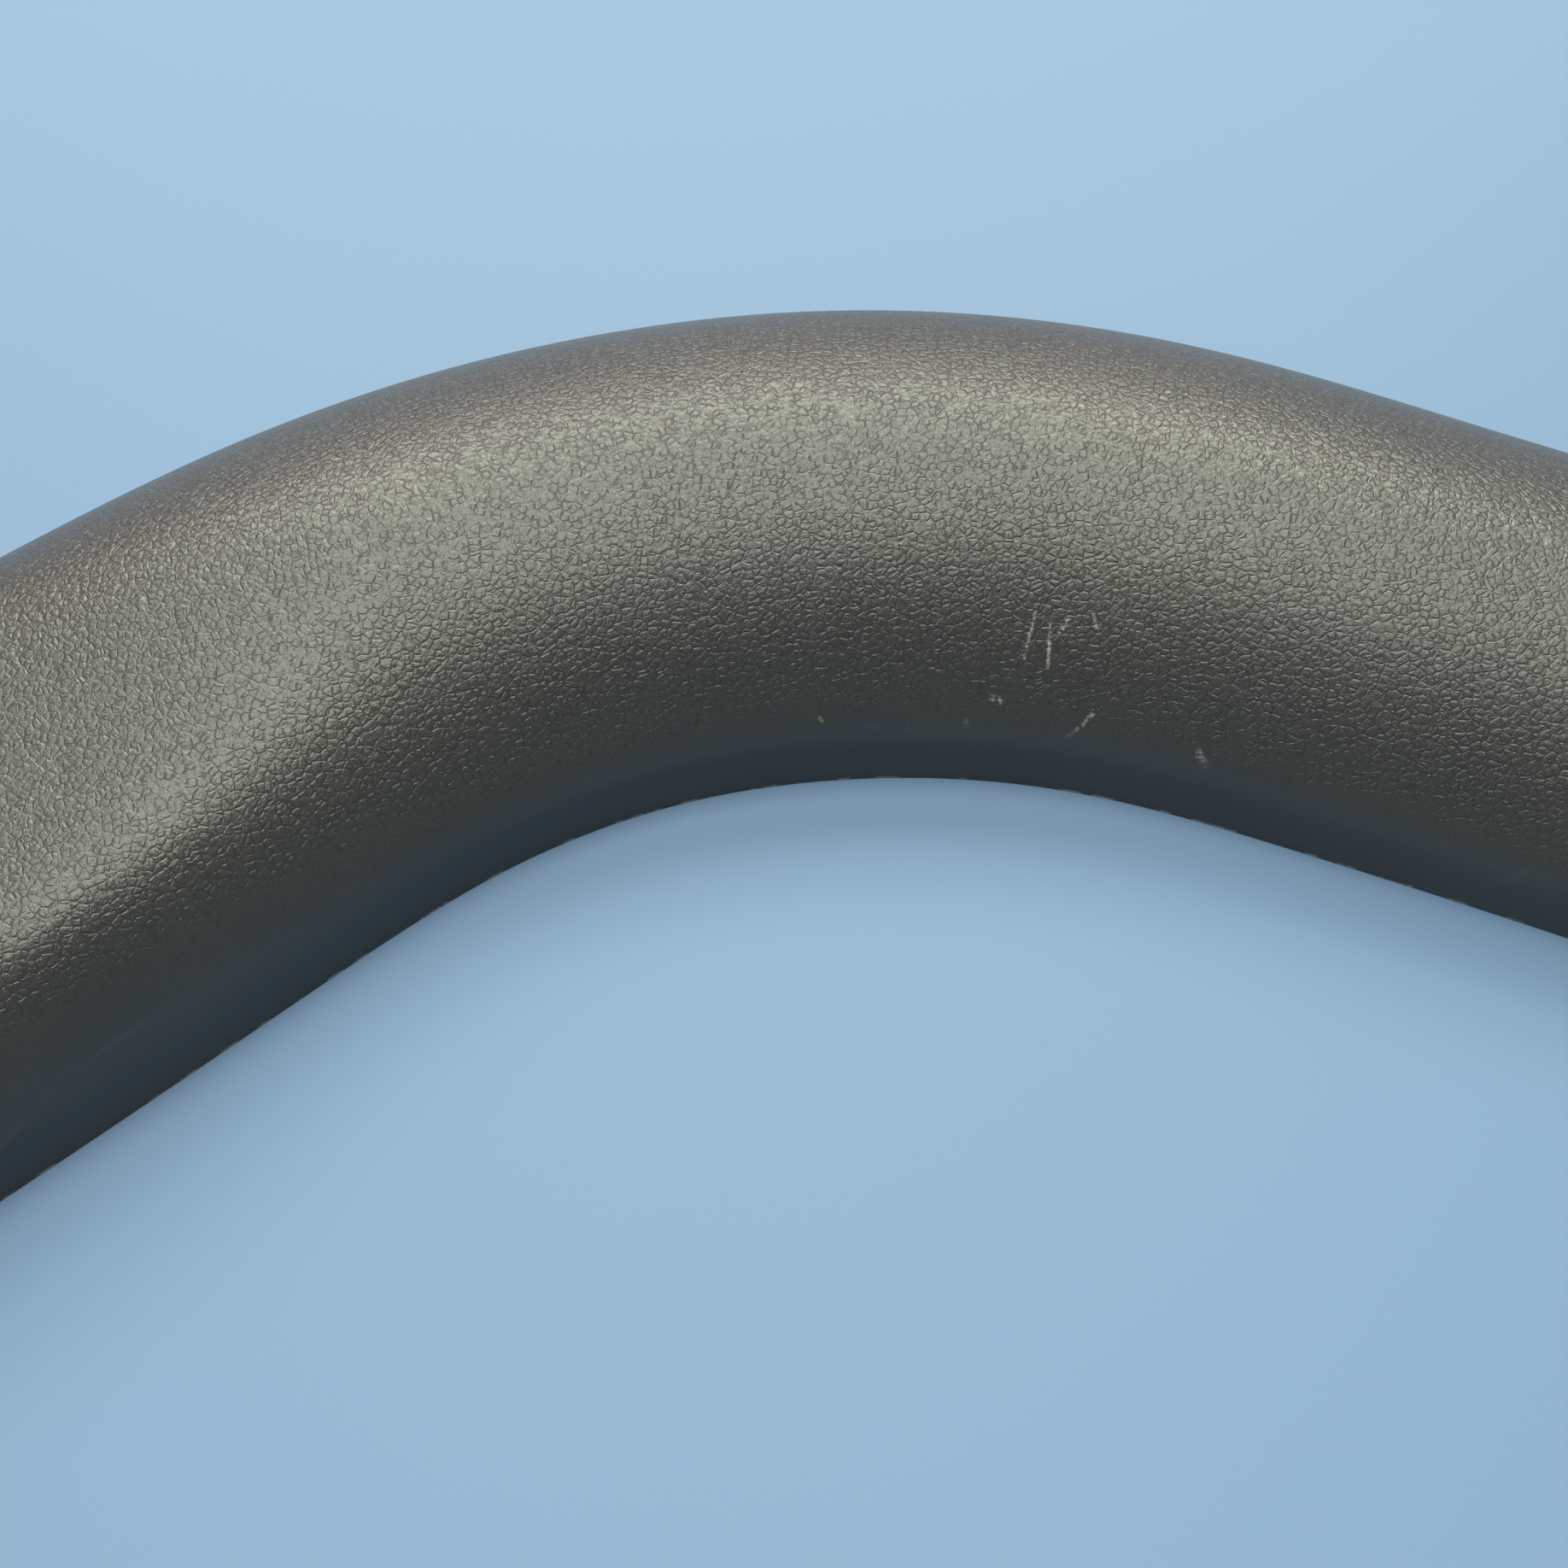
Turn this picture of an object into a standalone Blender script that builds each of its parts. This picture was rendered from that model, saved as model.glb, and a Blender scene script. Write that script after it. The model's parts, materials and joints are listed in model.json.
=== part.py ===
"""Moulded grab rail for a boat's cabin.

A bowed D-section grip in two plastic halves, a deep grained top cover and a flat back cover,
closes round a bent steel rod. The rod is welded into two foot plates, and two flanged studs on
each foot clamp it through a rubber gasket to a bulkhead. The bow lies in the XY plane with its
feet towards -Y and the open side of the top cover down on z = 0.
"""

import math

import bmesh
import bpy
from mathutils import Matrix, Vector

# --------------------------------------------------------------------------------------------
# Driving dimensions, in metres and degrees
# --------------------------------------------------------------------------------------------

CLEARANCE = 0.0003  # between pieces that touch

# Plan of the rail's middle line. Headings are anticlockwise from +X, going left foot to right.
LEFT_HEADING = 28.0
RIGHT_HEADING = -31.5
CROWN_LENGTH = 0.102
LEFT_LEG = 0.060
FOOT_BEND_RADIUS = 0.040
FOOT_STRAIGHT = 0.012
PLAN_BLEND = 0.024  # length over which each change of curvature is eased

# Width of the grip at its rim, and how far each width lies from the crown's middle
LEFT_WIDTH = 0.0552
CROWN_WIDTH = 0.0525
RIGHT_WIDTH = 0.0493
LEFT_TAPER = 0.095
RIGHT_TAPER = 0.085
FOOT_FLARE = 0.004  # extra width that a foot gains
FOOT_FLARE_LENGTH = 0.020

# Cross-section of the top cover, from the rim up
WALL_DRAFT = 9.0
SHOULDER_RADIUS = 0.011
LEFT_SHOULDER_RADIUS = 0.014
SHOULDER_TILT = 60.0  # tilt of the surface where the shoulder ends and the roll begins
ROLL_RADIUS = 0.027
LEFT_ROLL_RADIUS = 0.016
CROWN_TILT = 8.0  # tilt of the surface where the roll ends and the flat middle begins
COVER_WALL = 0.0024

# Raised lip along the inner edge of the left leg
LIP_HEIGHT = 0.003
LIP_INSET = 0.0085  # from the inner rim to the lip's crest
LIP_INNER_FLANK = 0.008
LIP_OUTER_FLANK = 0.013
LIP_STARTS = 0.032  # distance left of the crown's middle
LIP_FULL = 0.082

# Back cover, its screw wells and rod saddles
BACK_RECESS = 0.0005
BACK_THICKNESS = 0.0025
WELL_WALL = 0.00125
WELL_FLOOR = 0.0015
SADDLE_LENGTH = 0.003
SADDLE_SIDE = 0.004  # material on each side of the rod
SADDLE_BELOW_AXIS = 0.0005

# Cover screws, in pairs either side of the rod
SCREW_PAIRS = 5
SCREW_FOOT_ROOM = 0.044  # along the rail, from each foot to its nearest pair
SCREW_RADIUS = 0.00175
SCREW_LENGTH = 0.0085
SCREW_HEAD_RADIUS = 0.0029
SCREW_HEAD_HEIGHT = 0.0018
SCREW_HEAD_CROWN = 0.0006  # width of the rounded shoulder of the head
SCREW_DRIVE_RADIUS = 0.0012
SCREW_DRIVE_DEPTH = 0.001
SCREW_POINT_RADIUS = 0.0007
SCREW_POINT_LENGTH = 0.0026
BOSS_WALL = 0.00145
BOSS_SINK = 0.0013  # how far a boss's top lies below the grip's surface, inside its wall
PLUG_THICKNESS = 0.0011
PLUG_CHAMFER = 0.0003

# Steel core
ROD_RADIUS = 0.005
ROD_LIFT = 0.0005  # between the back cover and the rod
ROD_HEADROOM = 0.00175  # between the rod and the top cover over the left leg
PLATE_THICKNESS = 0.004
GASKET_THICKNESS = 0.002
GASKET_INSET = 0.0005

# M6 mounting studs, two on each foot
STUD_RADIUS = 0.003
STUD_INSET = 0.01265  # from the rim of the narrower foot to a stud's axis
STUD_LENGTH = 0.022  # beyond the gasket
STUD_FLANGE = 0.0015  # width of the flange round the shank
STUD_FLANGE_THICKNESS = 0.0015
STUD_CHAMFER = 0.0008
PANEL_THICKNESS = 0.006  # the bulkhead that the nuts clamp
WASHER_WIDTH = 0.0027
WASHER_THICKNESS = 0.0016
NUT_WALL = 0.002  # from the stud to a flat of the hexagon
NUT_HEX_HEIGHT = 0.0045
NUT_COLLAR_WALL = 0.0012
NUT_COLLAR_HEIGHT = 0.0018

# Fineness of the faces
STATION_STEP = 0.0046
RIM_STEP = 0.0023  # along the flat back cover's edge
PLAN_STEP = 0.001
SHOULDER_FACES = 3
ROLL_FACES = 5
MIDDLE_FACES = 2
GASKET_FINENESS = 3  # faces of a gasket's outline for each one of the grip's
ROUND_SIDES = 24
SMALL_SIDES = 12
ROD_STEP = 0.006
ROD_ROUNDNESS = 3
HARD_EDGE = 35.0
TRIM = 0.001  # overlong stock that is cut back to a flat end
TRIM_REACH = 0.5  # half the size of the boxes that cut it
CUT_MARGIN = 0.0005  # an outline's points this close to a cut are left out

# --------------------------------------------------------------------------------------------
# Heights and positions that follow from them
# --------------------------------------------------------------------------------------------

BACK_TOP = BACK_RECESS + BACK_THICKNESS
ROD_Z = BACK_TOP + ROD_LIFT + ROD_RADIUS
SCREW_SEAT = BACK_RECESS + PLUG_THICKNESS + SCREW_HEAD_HEIGHT + 2.0 * CLEARANCE
WELL_TOP = SCREW_SEAT + WELL_FLOOR
BOSS_BOTTOM = WELL_TOP + CLEARANCE
BORE_RADIUS = SCREW_RADIUS + CLEARANCE
BOSS_RADIUS = BORE_RADIUS + BOSS_WALL
RECESS_RADIUS = SCREW_HEAD_RADIUS + 1.5 * CLEARANCE
WELL_RADIUS = RECESS_RADIUS + WELL_WALL
PLUG_RADIUS = RECESS_RADIUS - CLEARANCE
SADDLE_RADIUS = ROD_RADIUS + 1.5 * CLEARANCE
STUD_HOLE_RADIUS = STUD_RADIUS + CLEARANCE


# --------------------------------------------------------------------------------------------
# Plan: the middle line, foot to foot
# --------------------------------------------------------------------------------------------


def ease(start, end, value):
    """0 before start, 1 after end, and a smooth step between."""
    t = min(1.0, max(0.0, (value - start) / (end - start)))
    return t * t * (3.0 - 2.0 * t)


def mix(low, high, share):
    return low + (high - low) * share


def heading_knots(right_leg):
    """(length, heading) where the plan goes from straight to arc or back."""
    knots = [(0.0, 90.0), (FOOT_STRAIGHT, 90.0)]
    runs = (
        (FOOT_BEND_RADIUS * math.radians(90.0 - LEFT_HEADING), LEFT_HEADING),
        (LEFT_LEG, LEFT_HEADING),
        (CROWN_LENGTH, RIGHT_HEADING),
        (right_leg, RIGHT_HEADING),
        (FOOT_BEND_RADIUS * math.radians(90.0 + RIGHT_HEADING), -90.0),
        (FOOT_STRAIGHT, -90.0),
    )
    for length, heading in runs:
        knots.append((knots[-1][0] + length, heading))
    return knots


def sharp_heading(knots, s):
    """Heading at length s, linear between the knots."""
    if s <= knots[0][0]:
        return knots[0][1]
    for (s0, h0), (s1, h1) in zip(knots, knots[1:]):
        if s <= s1:
            return mix(h0, h1, (s - s0) / (s1 - s0))
    return knots[-1][1]


def eased_heading(knots, s, samples=12):
    """Mean heading over PLAN_BLEND either side of s, in radians."""
    total = 0.0
    for i in range(samples):
        offset = PLAN_BLEND * ((i + 0.5) / samples - 0.5)
        total += sharp_heading(knots, s + offset)
    return math.radians(total / samples)


def walk(knots):
    """Points of the middle line every PLAN_STEP, from the left foot at (0, 0)."""
    count = round(knots[-1][0] / PLAN_STEP)
    step = knots[-1][0] / count
    points = [Vector((0.0, 0.0))]
    for i in range(count):
        heading = eased_heading(knots, (i + 0.5) * step)
        points.append(points[-1] + step * Vector((math.cos(heading), math.sin(heading))))
    return points, step


def solve_right_leg():
    """The right leg's length that brings both feet down to one plane."""
    trial = LEFT_LEG
    points, _ = walk(heading_knots(trial))
    return trial + points[-1].y / math.sin(math.radians(-RIGHT_HEADING))


class Plan:
    """The middle line as a function of the length from the left foot."""

    def __init__(self):
        self.knots = heading_knots(solve_right_leg())
        self.points, self.step = walk(self.knots)
        self.length = self.knots[-1][0]
        self.middle = 0.5 * (self.knots[3][0] + self.knots[4][0])
        self.shift = Vector((0.0, 0.0))
        self.rim_wall = solve_rim_wall()

    def heading(self, s):
        return eased_heading(self.knots, s)

    def point(self, s):
        index = min(len(self.points) - 2, max(0, int(s / self.step)))
        start, end = self.points[index], self.points[index + 1]
        return start + (end - start) * (s / self.step - index) + self.shift

    def at(self, s, n, z):
        """World point at length s, offset n to the left of the way along, height z."""
        heading = self.heading(s)
        spot = self.point(s) + n * Vector((-math.sin(heading), math.cos(heading)))
        return Vector((spot.x, spot.y, z))


# --------------------------------------------------------------------------------------------
# Cross-section of the top cover
# --------------------------------------------------------------------------------------------


def width_at(plan, s):
    """Width of the grip at its rim."""
    from_middle = s - plan.middle
    if from_middle < 0.0:
        width = mix(CROWN_WIDTH, LEFT_WIDTH, ease(0.0, LEFT_TAPER, -from_middle))
    else:
        width = mix(CROWN_WIDTH, RIGHT_WIDTH, ease(0.0, RIGHT_TAPER, from_middle))
    to_foot = min(s, plan.length - s)
    return width + FOOT_FLARE * ease(FOOT_FLARE_LENGTH, 0.0, to_foot)


def arc_points(end, radius, tilt_from, tilt_to, faces):
    """Points after end on an arc whose surface tilt goes from tilt_from to tilt_to degrees."""
    first = math.radians(tilt_from)
    centre_n = end[0] - radius * math.sin(first)
    centre_z = end[1] - radius * math.cos(first)
    points = []
    for i in range(1, faces + 1):
        tilt = math.radians(mix(tilt_from, tilt_to, i / faces))
        points.append((centre_n + radius * math.sin(tilt), centre_z + radius * math.cos(tilt)))
    return points


def half_outline(half_width, shoulder, roll, rim_wall, fineness=1):
    """(n, z) from the rim up the draft wall, round the shoulder and the roll, to the middle."""
    wall_tilt = 90.0 - WALL_DRAFT
    lean = math.tan(math.radians(WALL_DRAFT))
    points = [(half_width + TRIM * lean, -TRIM), (half_width - rim_wall * lean, rim_wall)]
    faces = SHOULDER_FACES * fineness
    points += arc_points(points[-1], shoulder, wall_tilt, SHOULDER_TILT, faces)
    roll = min(roll, points[-1][0] / math.sin(math.radians(SHOULDER_TILT)))
    faces = ROLL_FACES * fineness
    points += arc_points(points[-1], roll, SHOULDER_TILT, CROWN_TILT, faces)
    middle = points[-1][0] / math.sin(math.radians(CROWN_TILT))
    points += arc_points(points[-1], middle, CROWN_TILT, 0.0, MIDDLE_FACES * fineness)
    return points


def solve_rim_wall():
    """Height of the drafted wall that leaves the rod its headroom under the low left leg."""
    top = half_outline(0.5 * LEFT_WIDTH, LEFT_SHOULDER_RADIUS, LEFT_ROLL_RADIUS, 0.0)[-1][1]
    return ROD_Z + ROD_RADIUS + ROD_HEADROOM + COVER_WALL - top


def lip_rise(from_crest, height):
    """Extra height of the raised lip at a distance outwards from its crest."""
    flank = LIP_OUTER_FLANK if from_crest > 0.0 else LIP_INNER_FLANK
    if abs(from_crest) >= flank:
        return 0.0
    return 0.5 * height * (1.0 + math.cos(math.pi * from_crest / flank))


def outline(plan, s, fineness=1):
    """Outer (n, z) outline of the top cover at length s, from the inner rim to the outer one."""
    left_of_middle = plan.middle - s
    left_share = ease(LIP_STARTS, LIP_FULL, left_of_middle)
    half_width = 0.5 * width_at(plan, s)
    shoulder = mix(SHOULDER_RADIUS, LEFT_SHOULDER_RADIUS, left_share)
    roll = mix(ROLL_RADIUS, LEFT_ROLL_RADIUS, left_share)
    half = half_outline(half_width, shoulder, roll, plan.rim_wall, fineness)
    whole = [(-n, z) for n, z in half[:-1]] + [(n, z) for n, z in reversed(half)]
    raised = []
    for n, z in whole:
        # The bow's inner side is on the right of the way from the left foot: negative n
        rise = lip_rise(n + half_width - LIP_INSET, LIP_HEIGHT * left_share)
        raised.append((n, z + (rise if z > plan.rim_wall else 0.0)))
    return raised


def surface_height(plan, s, n):
    """Height of the top cover's outer surface above a point of the plan."""
    points = outline(plan, s)
    for (n0, z0), (n1, z1) in zip(points, points[1:]):
        if n0 <= n <= n1:
            return mix(z0, z1, (n - n0) / (n1 - n0))
    return 0.0


def inset(points, distance):
    """The outline moved inwards by a distance, each point along its own normal."""
    moved = []
    for i, (n, z) in enumerate(points):
        before = points[max(0, i - 1)]
        after = points[min(len(points) - 1, i + 1)]
        along = Vector((after[0] - before[0], after[1] - before[1])).normalized()
        moved.append((n + distance * along.y, z - distance * along.x))
    return moved


# --------------------------------------------------------------------------------------------
# Modelling helpers
# --------------------------------------------------------------------------------------------


def clear_scene():
    for item in list(bpy.data.objects):
        bpy.data.objects.remove(item, do_unlink=True)


def new_collection(name):
    collection = bpy.data.collections.new(name)
    bpy.context.scene.collection.children.link(collection)
    return collection


def new_material(name, colour, roughness, metallic=0.0):
    material = bpy.data.materials.new(name)
    material.use_nodes = True
    shader = material.node_tree.nodes["Principled BSDF"]
    shader.inputs["Base Color"].default_value = (*colour, 1.0)
    shader.inputs["Roughness"].default_value = roughness
    shader.inputs["Metallic"].default_value = metallic
    return material


def add_object(name, mesh, material=None):
    """A part of the rail when it has a material, and otherwise a cutter or a tool body."""
    item = bpy.data.objects.new(name, mesh)
    if material:
        mesh.materials.append(material)
        PARTS.objects.link(item)
        item.parent = FRAME
    else:
        CUTTERS.objects.link(item)
        item.hide_render = True
        item.display_type = "WIRE"
    return item


def mesh_from(name, build):
    """A mesh filled in by a function that is given an empty bmesh."""
    bm = bmesh.new()
    build(bm)
    mesh = bpy.data.meshes.new(name)
    bm.to_mesh(mesh)
    bm.free()
    return mesh


def add_cylinder(bm, spot, radius, bottom, top, sides=ROUND_SIDES):
    """An upright closed cylinder over a point of the plan. Returns its vertices."""
    middle = Matrix.Translation((spot.x, spot.y, 0.5 * (bottom + top)))
    made = bmesh.ops.create_cone(
        bm,
        cap_ends=True,
        cap_tris=False,
        segments=sides,
        radius1=radius,
        radius2=radius,
        depth=top - bottom,
        matrix=middle,
    )
    return made["verts"]


def combine(target, tool, operation):
    """A live Boolean on a part, with a tool body that stays out of the model."""
    modifier = target.modifiers.new(f"{operation.lower()} {tool.name}", "BOOLEAN")
    modifier.operation = operation
    modifier.solver = "EXACT"
    modifier.object = tool


def solidify(item, thickness):
    """Gives an open surface its wall, inwards from it."""
    modifier = item.modifiers.new("wall", "SOLIDIFY")
    modifier.thickness = thickness
    modifier.offset = -1.0
    modifier.use_even_offset = True
    modifier.use_quality_normals = True


def shade(mesh):
    """Smooth shading that keeps the hard edges."""
    mesh.shade_smooth()
    mesh.set_sharp_from_angle(angle=math.radians(HARD_EDGE))


def turned(name, profile, material, sides=ROUND_SIDES):
    """A solid of revolution about Z. The profile's (radius, z) points run from top to bottom."""

    def build(bm):
        ring = [bm.verts.new((radius, 0.0, z)) for radius, z in profile]
        for upper, lower in zip(ring, ring[1:]):
            bm.edges.new((upper, lower))

    item = add_object(name, mesh_from(name, build), material)
    screw = item.modifiers.new("turn", "SCREW")
    screw.axis = "Z"
    screw.steps = sides
    screw.render_steps = sides
    screw.use_merge_vertices = True
    screw.merge_threshold = 0.00001
    screw.use_smooth_shade = True
    return item


def box_tool(name, low, high):
    """A box between two corners."""

    def build(bm):
        size = high - low
        place = Matrix.Translation(0.5 * (low + high)) @ Matrix.Diagonal((*size, 1.0))
        bmesh.ops.create_cube(bm, size=1.0, matrix=place)

    return add_object(name, mesh_from(name, build))


# --------------------------------------------------------------------------------------------
# Places along the rail
# --------------------------------------------------------------------------------------------


def stations(start, end, step=STATION_STEP):
    """Even lengths along the rail from start to end."""
    count = math.ceil((end - start) / step)
    return [mix(start, end, i / count) for i in range(count + 1)]


def inner_half_width(plan, s, height):
    """Half of the room between the top cover's drafted walls at a height above the rim."""
    draft = math.radians(WALL_DRAFT)
    return 0.5 * width_at(plan, s) - height * math.tan(draft) - COVER_WALL / math.cos(draft)


def pair_places(plan):
    """Lengths of the pairs of cover screws."""
    pitch = (plan.length - 2.0 * SCREW_FOOT_ROOM) / (SCREW_PAIRS - 1)
    return [SCREW_FOOT_ROOM + i * pitch for i in range(SCREW_PAIRS)]


def screw_places(plan):
    """(length, offset) of each cover screw, inner one first, midway from the rod to the wall."""
    places = []
    for s in pair_places(plan):
        offset = 0.5 * (ROD_RADIUS + inner_half_width(plan, s, WELL_TOP))
        places += [(s, -offset), (s, offset)]
    return places


def centre_plan(plan):
    """Moves the plan so that the middle of the whole rail's box is over the origin."""
    rim = []
    for s in stations(0.0, plan.length):
        half_width = 0.5 * width_at(plan, s)
        rim += [plan.at(s, -half_width, 0.0), plan.at(s, half_width, 0.0)]
    left = min(spot.x for spot in rim)
    right = max(spot.x for spot in rim)
    front = plan.point(0.0).y - CLEARANCE - GASKET_THICKNESS - STUD_LENGTH
    back = max(spot.y for spot in rim)
    plan.shift = Vector((-0.5 * (left + right), -0.5 * (front + back)))


# --------------------------------------------------------------------------------------------
# Top cover
# --------------------------------------------------------------------------------------------


def cover_skin(plan):
    """The outer surface, a little overlong at the rim and at both feet."""

    def build(bm):
        rows = []
        for s in stations(-TRIM, plan.length + TRIM):
            inside = min(plan.length, max(0.0, s))
            rows.append([bm.verts.new(plan.at(s, n, z)) for n, z in outline(plan, inside)])
        for row, following in zip(rows, rows[1:]):
            for i in range(len(row) - 1):
                bm.faces.new((row[i], following[i], following[i + 1], row[i + 1]))

    return mesh_from("top_cover", build)


def boss_bodies(plan):
    """Round bosses that rise from above the screw wells into the middle of the cover's wall."""

    def build(bm):
        for s, n in screw_places(plan):
            spot = plan.at(s, n, 0.0)
            heading = plan.heading(s)
            across = Vector((-math.sin(heading), math.cos(heading), 0.0))
            top = surface_height(plan, s, n)
            for vertex in add_cylinder(bm, spot, BOSS_RADIUS, BOSS_BOTTOM, top):
                if vertex.co.z < mix(BOSS_BOTTOM, top, 0.5):
                    continue
                offset = n + (vertex.co - spot).dot(across)
                vertex.co.z = surface_height(plan, s, offset) - BOSS_SINK
        caps = [face for face in bm.faces if len(face.verts) > 4]
        bmesh.ops.triangulate(bm, faces=caps)

    return add_object("boss_bodies", mesh_from("boss_bodies", build))


def boss_bores(plan):
    """Blind holes up the bosses for the screws."""

    def build(bm):
        for s, n in screw_places(plan):
            top = SCREW_SEAT + SCREW_LENGTH + 2.0 * CLEARANCE
            spot = plan.at(s, n, 0.0)
            add_cylinder(bm, spot, BORE_RADIUS, BOSS_BOTTOM - TRIM, top, SMALL_SIDES)

    return add_object("boss_bores", mesh_from("boss_bores", build))


def trim_tools(plan):
    """Boxes that cut the rim and both feet flat."""
    reach = TRIM_REACH
    corner = Vector((-reach, -reach, -reach))
    under = box_tool("rim_trim", corner, Vector((reach, reach, 0.0)))
    ahead = box_tool("foot_trim", corner, Vector((reach, plan.point(0.0).y, reach)))
    return under, ahead


def make_top_cover(plan, material):
    cover = add_object("top_cover", cover_skin(plan), material)
    solidify(cover, COVER_WALL)
    combine(cover, boss_bodies(plan), "UNION")
    combine(cover, boss_bores(plan), "DIFFERENCE")
    for tool in trim_tools(plan):
        combine(cover, tool, "DIFFERENCE")
    shade(cover.data)
    return cover


# --------------------------------------------------------------------------------------------
# Back cover
# --------------------------------------------------------------------------------------------


def back_skin(plan):
    """The back cover's inner face, facing up."""

    def build(bm):
        rows = []
        for s in stations(CLEARANCE, plan.length - CLEARANCE, RIM_STEP):
            half = inner_half_width(plan, s, BACK_TOP) - CLEARANCE
            rows.append([bm.verts.new(plan.at(s, n, BACK_TOP)) for n in (-half, half)])
        for row, following in zip(rows, rows[1:]):
            bm.faces.new((row[0], following[0], following[1], row[1]))

    return mesh_from("back_cover", build)


def well_bodies(plan):
    """Cups that carry the screw heads below the bosses."""

    def build(bm):
        for s, n in screw_places(plan):
            bottom = BACK_RECESS + 0.5 * BACK_THICKNESS
            add_cylinder(bm, plan.at(s, n, 0.0), WELL_RADIUS, bottom, WELL_TOP)

    return add_object("well_bodies", mesh_from("well_bodies", build))


def saddle_places(plan):
    """Lengths of the rod's saddles, halfway between the pairs of screws."""
    pairs = pair_places(plan)
    return [0.5 * (first + second) for first, second in zip(pairs, pairs[1:])]


def saddle_bodies(plan):
    """Blocks across the back cover that the rod lies in."""

    def build(bm):
        bottom = BACK_RECESS + 0.5 * BACK_THICKNESS
        top = ROD_Z - SADDLE_BELOW_AXIS
        across = 2.0 * (ROD_RADIUS + SADDLE_SIDE)
        size = Matrix.Diagonal((SADDLE_LENGTH, across, top - bottom, 1.0))
        for s in saddle_places(plan):
            turn = Matrix.Rotation(plan.heading(s), 4, "Z")
            place = Matrix.Translation(plan.at(s, 0.0, 0.5 * (bottom + top)))
            bmesh.ops.create_cube(bm, size=1.0, matrix=place @ turn @ size)

    return add_object("saddle_bodies", mesh_from("saddle_bodies", build))


def saddle_grooves(plan):
    """Short lengths of the rod's own round, with its clearance."""

    def build(bm):
        for s in saddle_places(plan):
            turn = Matrix.Rotation(plan.heading(s), 4, "Z") @ Matrix.Rotation(math.pi / 2, 4, "Y")
            place = Matrix.Translation(plan.at(s, 0.0, ROD_Z))
            bmesh.ops.create_cone(
                bm,
                cap_ends=True,
                segments=ROUND_SIDES,
                radius1=SADDLE_RADIUS,
                radius2=SADDLE_RADIUS,
                depth=SADDLE_LENGTH + 2.0 * TRIM,
                matrix=place @ turn,
            )

    return add_object("saddle_grooves", mesh_from("saddle_grooves", build))


def well_cuts(plan):
    """Head recesses, open below."""

    def build(bm):
        for s, n in screw_places(plan):
            add_cylinder(bm, plan.at(s, n, 0.0), RECESS_RADIUS, -TRIM, SCREW_SEAT)

    return add_object("well_cuts", mesh_from("well_cuts", build))


def screw_holes(plan):
    """Clearance holes through the floors of the wells."""

    def build(bm):
        for s, n in screw_places(plan):
            spot = plan.at(s, n, 0.0)
            bottom = 0.5 * (BACK_RECESS + SCREW_SEAT)
            add_cylinder(bm, spot, BORE_RADIUS, bottom, WELL_TOP + TRIM, SMALL_SIDES)

    return add_object("screw_holes", mesh_from("screw_holes", build))


def make_back_cover(plan, material):
    cover = add_object("back_cover", back_skin(plan), material)
    solidify(cover, BACK_THICKNESS)
    combine(cover, well_bodies(plan), "UNION")
    combine(cover, saddle_bodies(plan), "UNION")
    combine(cover, saddle_grooves(plan), "DIFFERENCE")
    combine(cover, well_cuts(plan), "DIFFERENCE")
    combine(cover, screw_holes(plan), "DIFFERENCE")
    shade(cover.data)
    return cover


# --------------------------------------------------------------------------------------------
# Cover screws and their plugs
# --------------------------------------------------------------------------------------------


def make_screw(name, plan, s, n, material):
    """Pan-head screw, head down in its well and point up in its boss."""
    head_top = -CLEARANCE
    head_bottom = head_top - SCREW_HEAD_HEIGHT
    drive_floor = head_bottom + SCREW_DRIVE_DEPTH
    profile = (
        (0.0, SCREW_LENGTH),
        (SCREW_POINT_RADIUS, SCREW_LENGTH),
        (SCREW_RADIUS, SCREW_LENGTH - SCREW_POINT_LENGTH),
        (SCREW_RADIUS, head_top),
        (SCREW_HEAD_RADIUS, head_top),
        (SCREW_HEAD_RADIUS, head_bottom + SCREW_HEAD_CROWN),
        (SCREW_HEAD_RADIUS - SCREW_HEAD_CROWN, head_bottom),
        (SCREW_DRIVE_RADIUS, head_bottom),
        (SCREW_DRIVE_RADIUS, drive_floor),
        (0.0, drive_floor),
    )
    screw = turned(name, profile, material, SMALL_SIDES)
    screw.location = plan.at(s, n, SCREW_SEAT)
    return screw


def make_plug(name, plan, s, n, material):
    """Press-in disc that hides a screw, its face level with the back cover."""
    profile = (
        (0.0, PLUG_THICKNESS),
        (PLUG_RADIUS - PLUG_CHAMFER, PLUG_THICKNESS),
        (PLUG_RADIUS, PLUG_THICKNESS - PLUG_CHAMFER),
        (PLUG_RADIUS, PLUG_CHAMFER),
        (PLUG_RADIUS - PLUG_CHAMFER, 0.0),
        (0.0, 0.0),
    )
    plug = turned(name, profile, material)
    plug.location = plan.at(s, n, BACK_RECESS)
    return plug


def make_screws(plan, screw_material, plug_material):
    for i, (s, n) in enumerate(screw_places(plan)):
        side = "inner" if n < 0.0 else "outer"
        number = i // 2 + 1
        make_screw(f"cover_screw_{side}_{number}", plan, s, n, screw_material)
        make_plug(f"screw_plug_{side}_{number}", plan, s, n, plug_material)


# --------------------------------------------------------------------------------------------
# Steel core and feet
# --------------------------------------------------------------------------------------------


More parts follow.
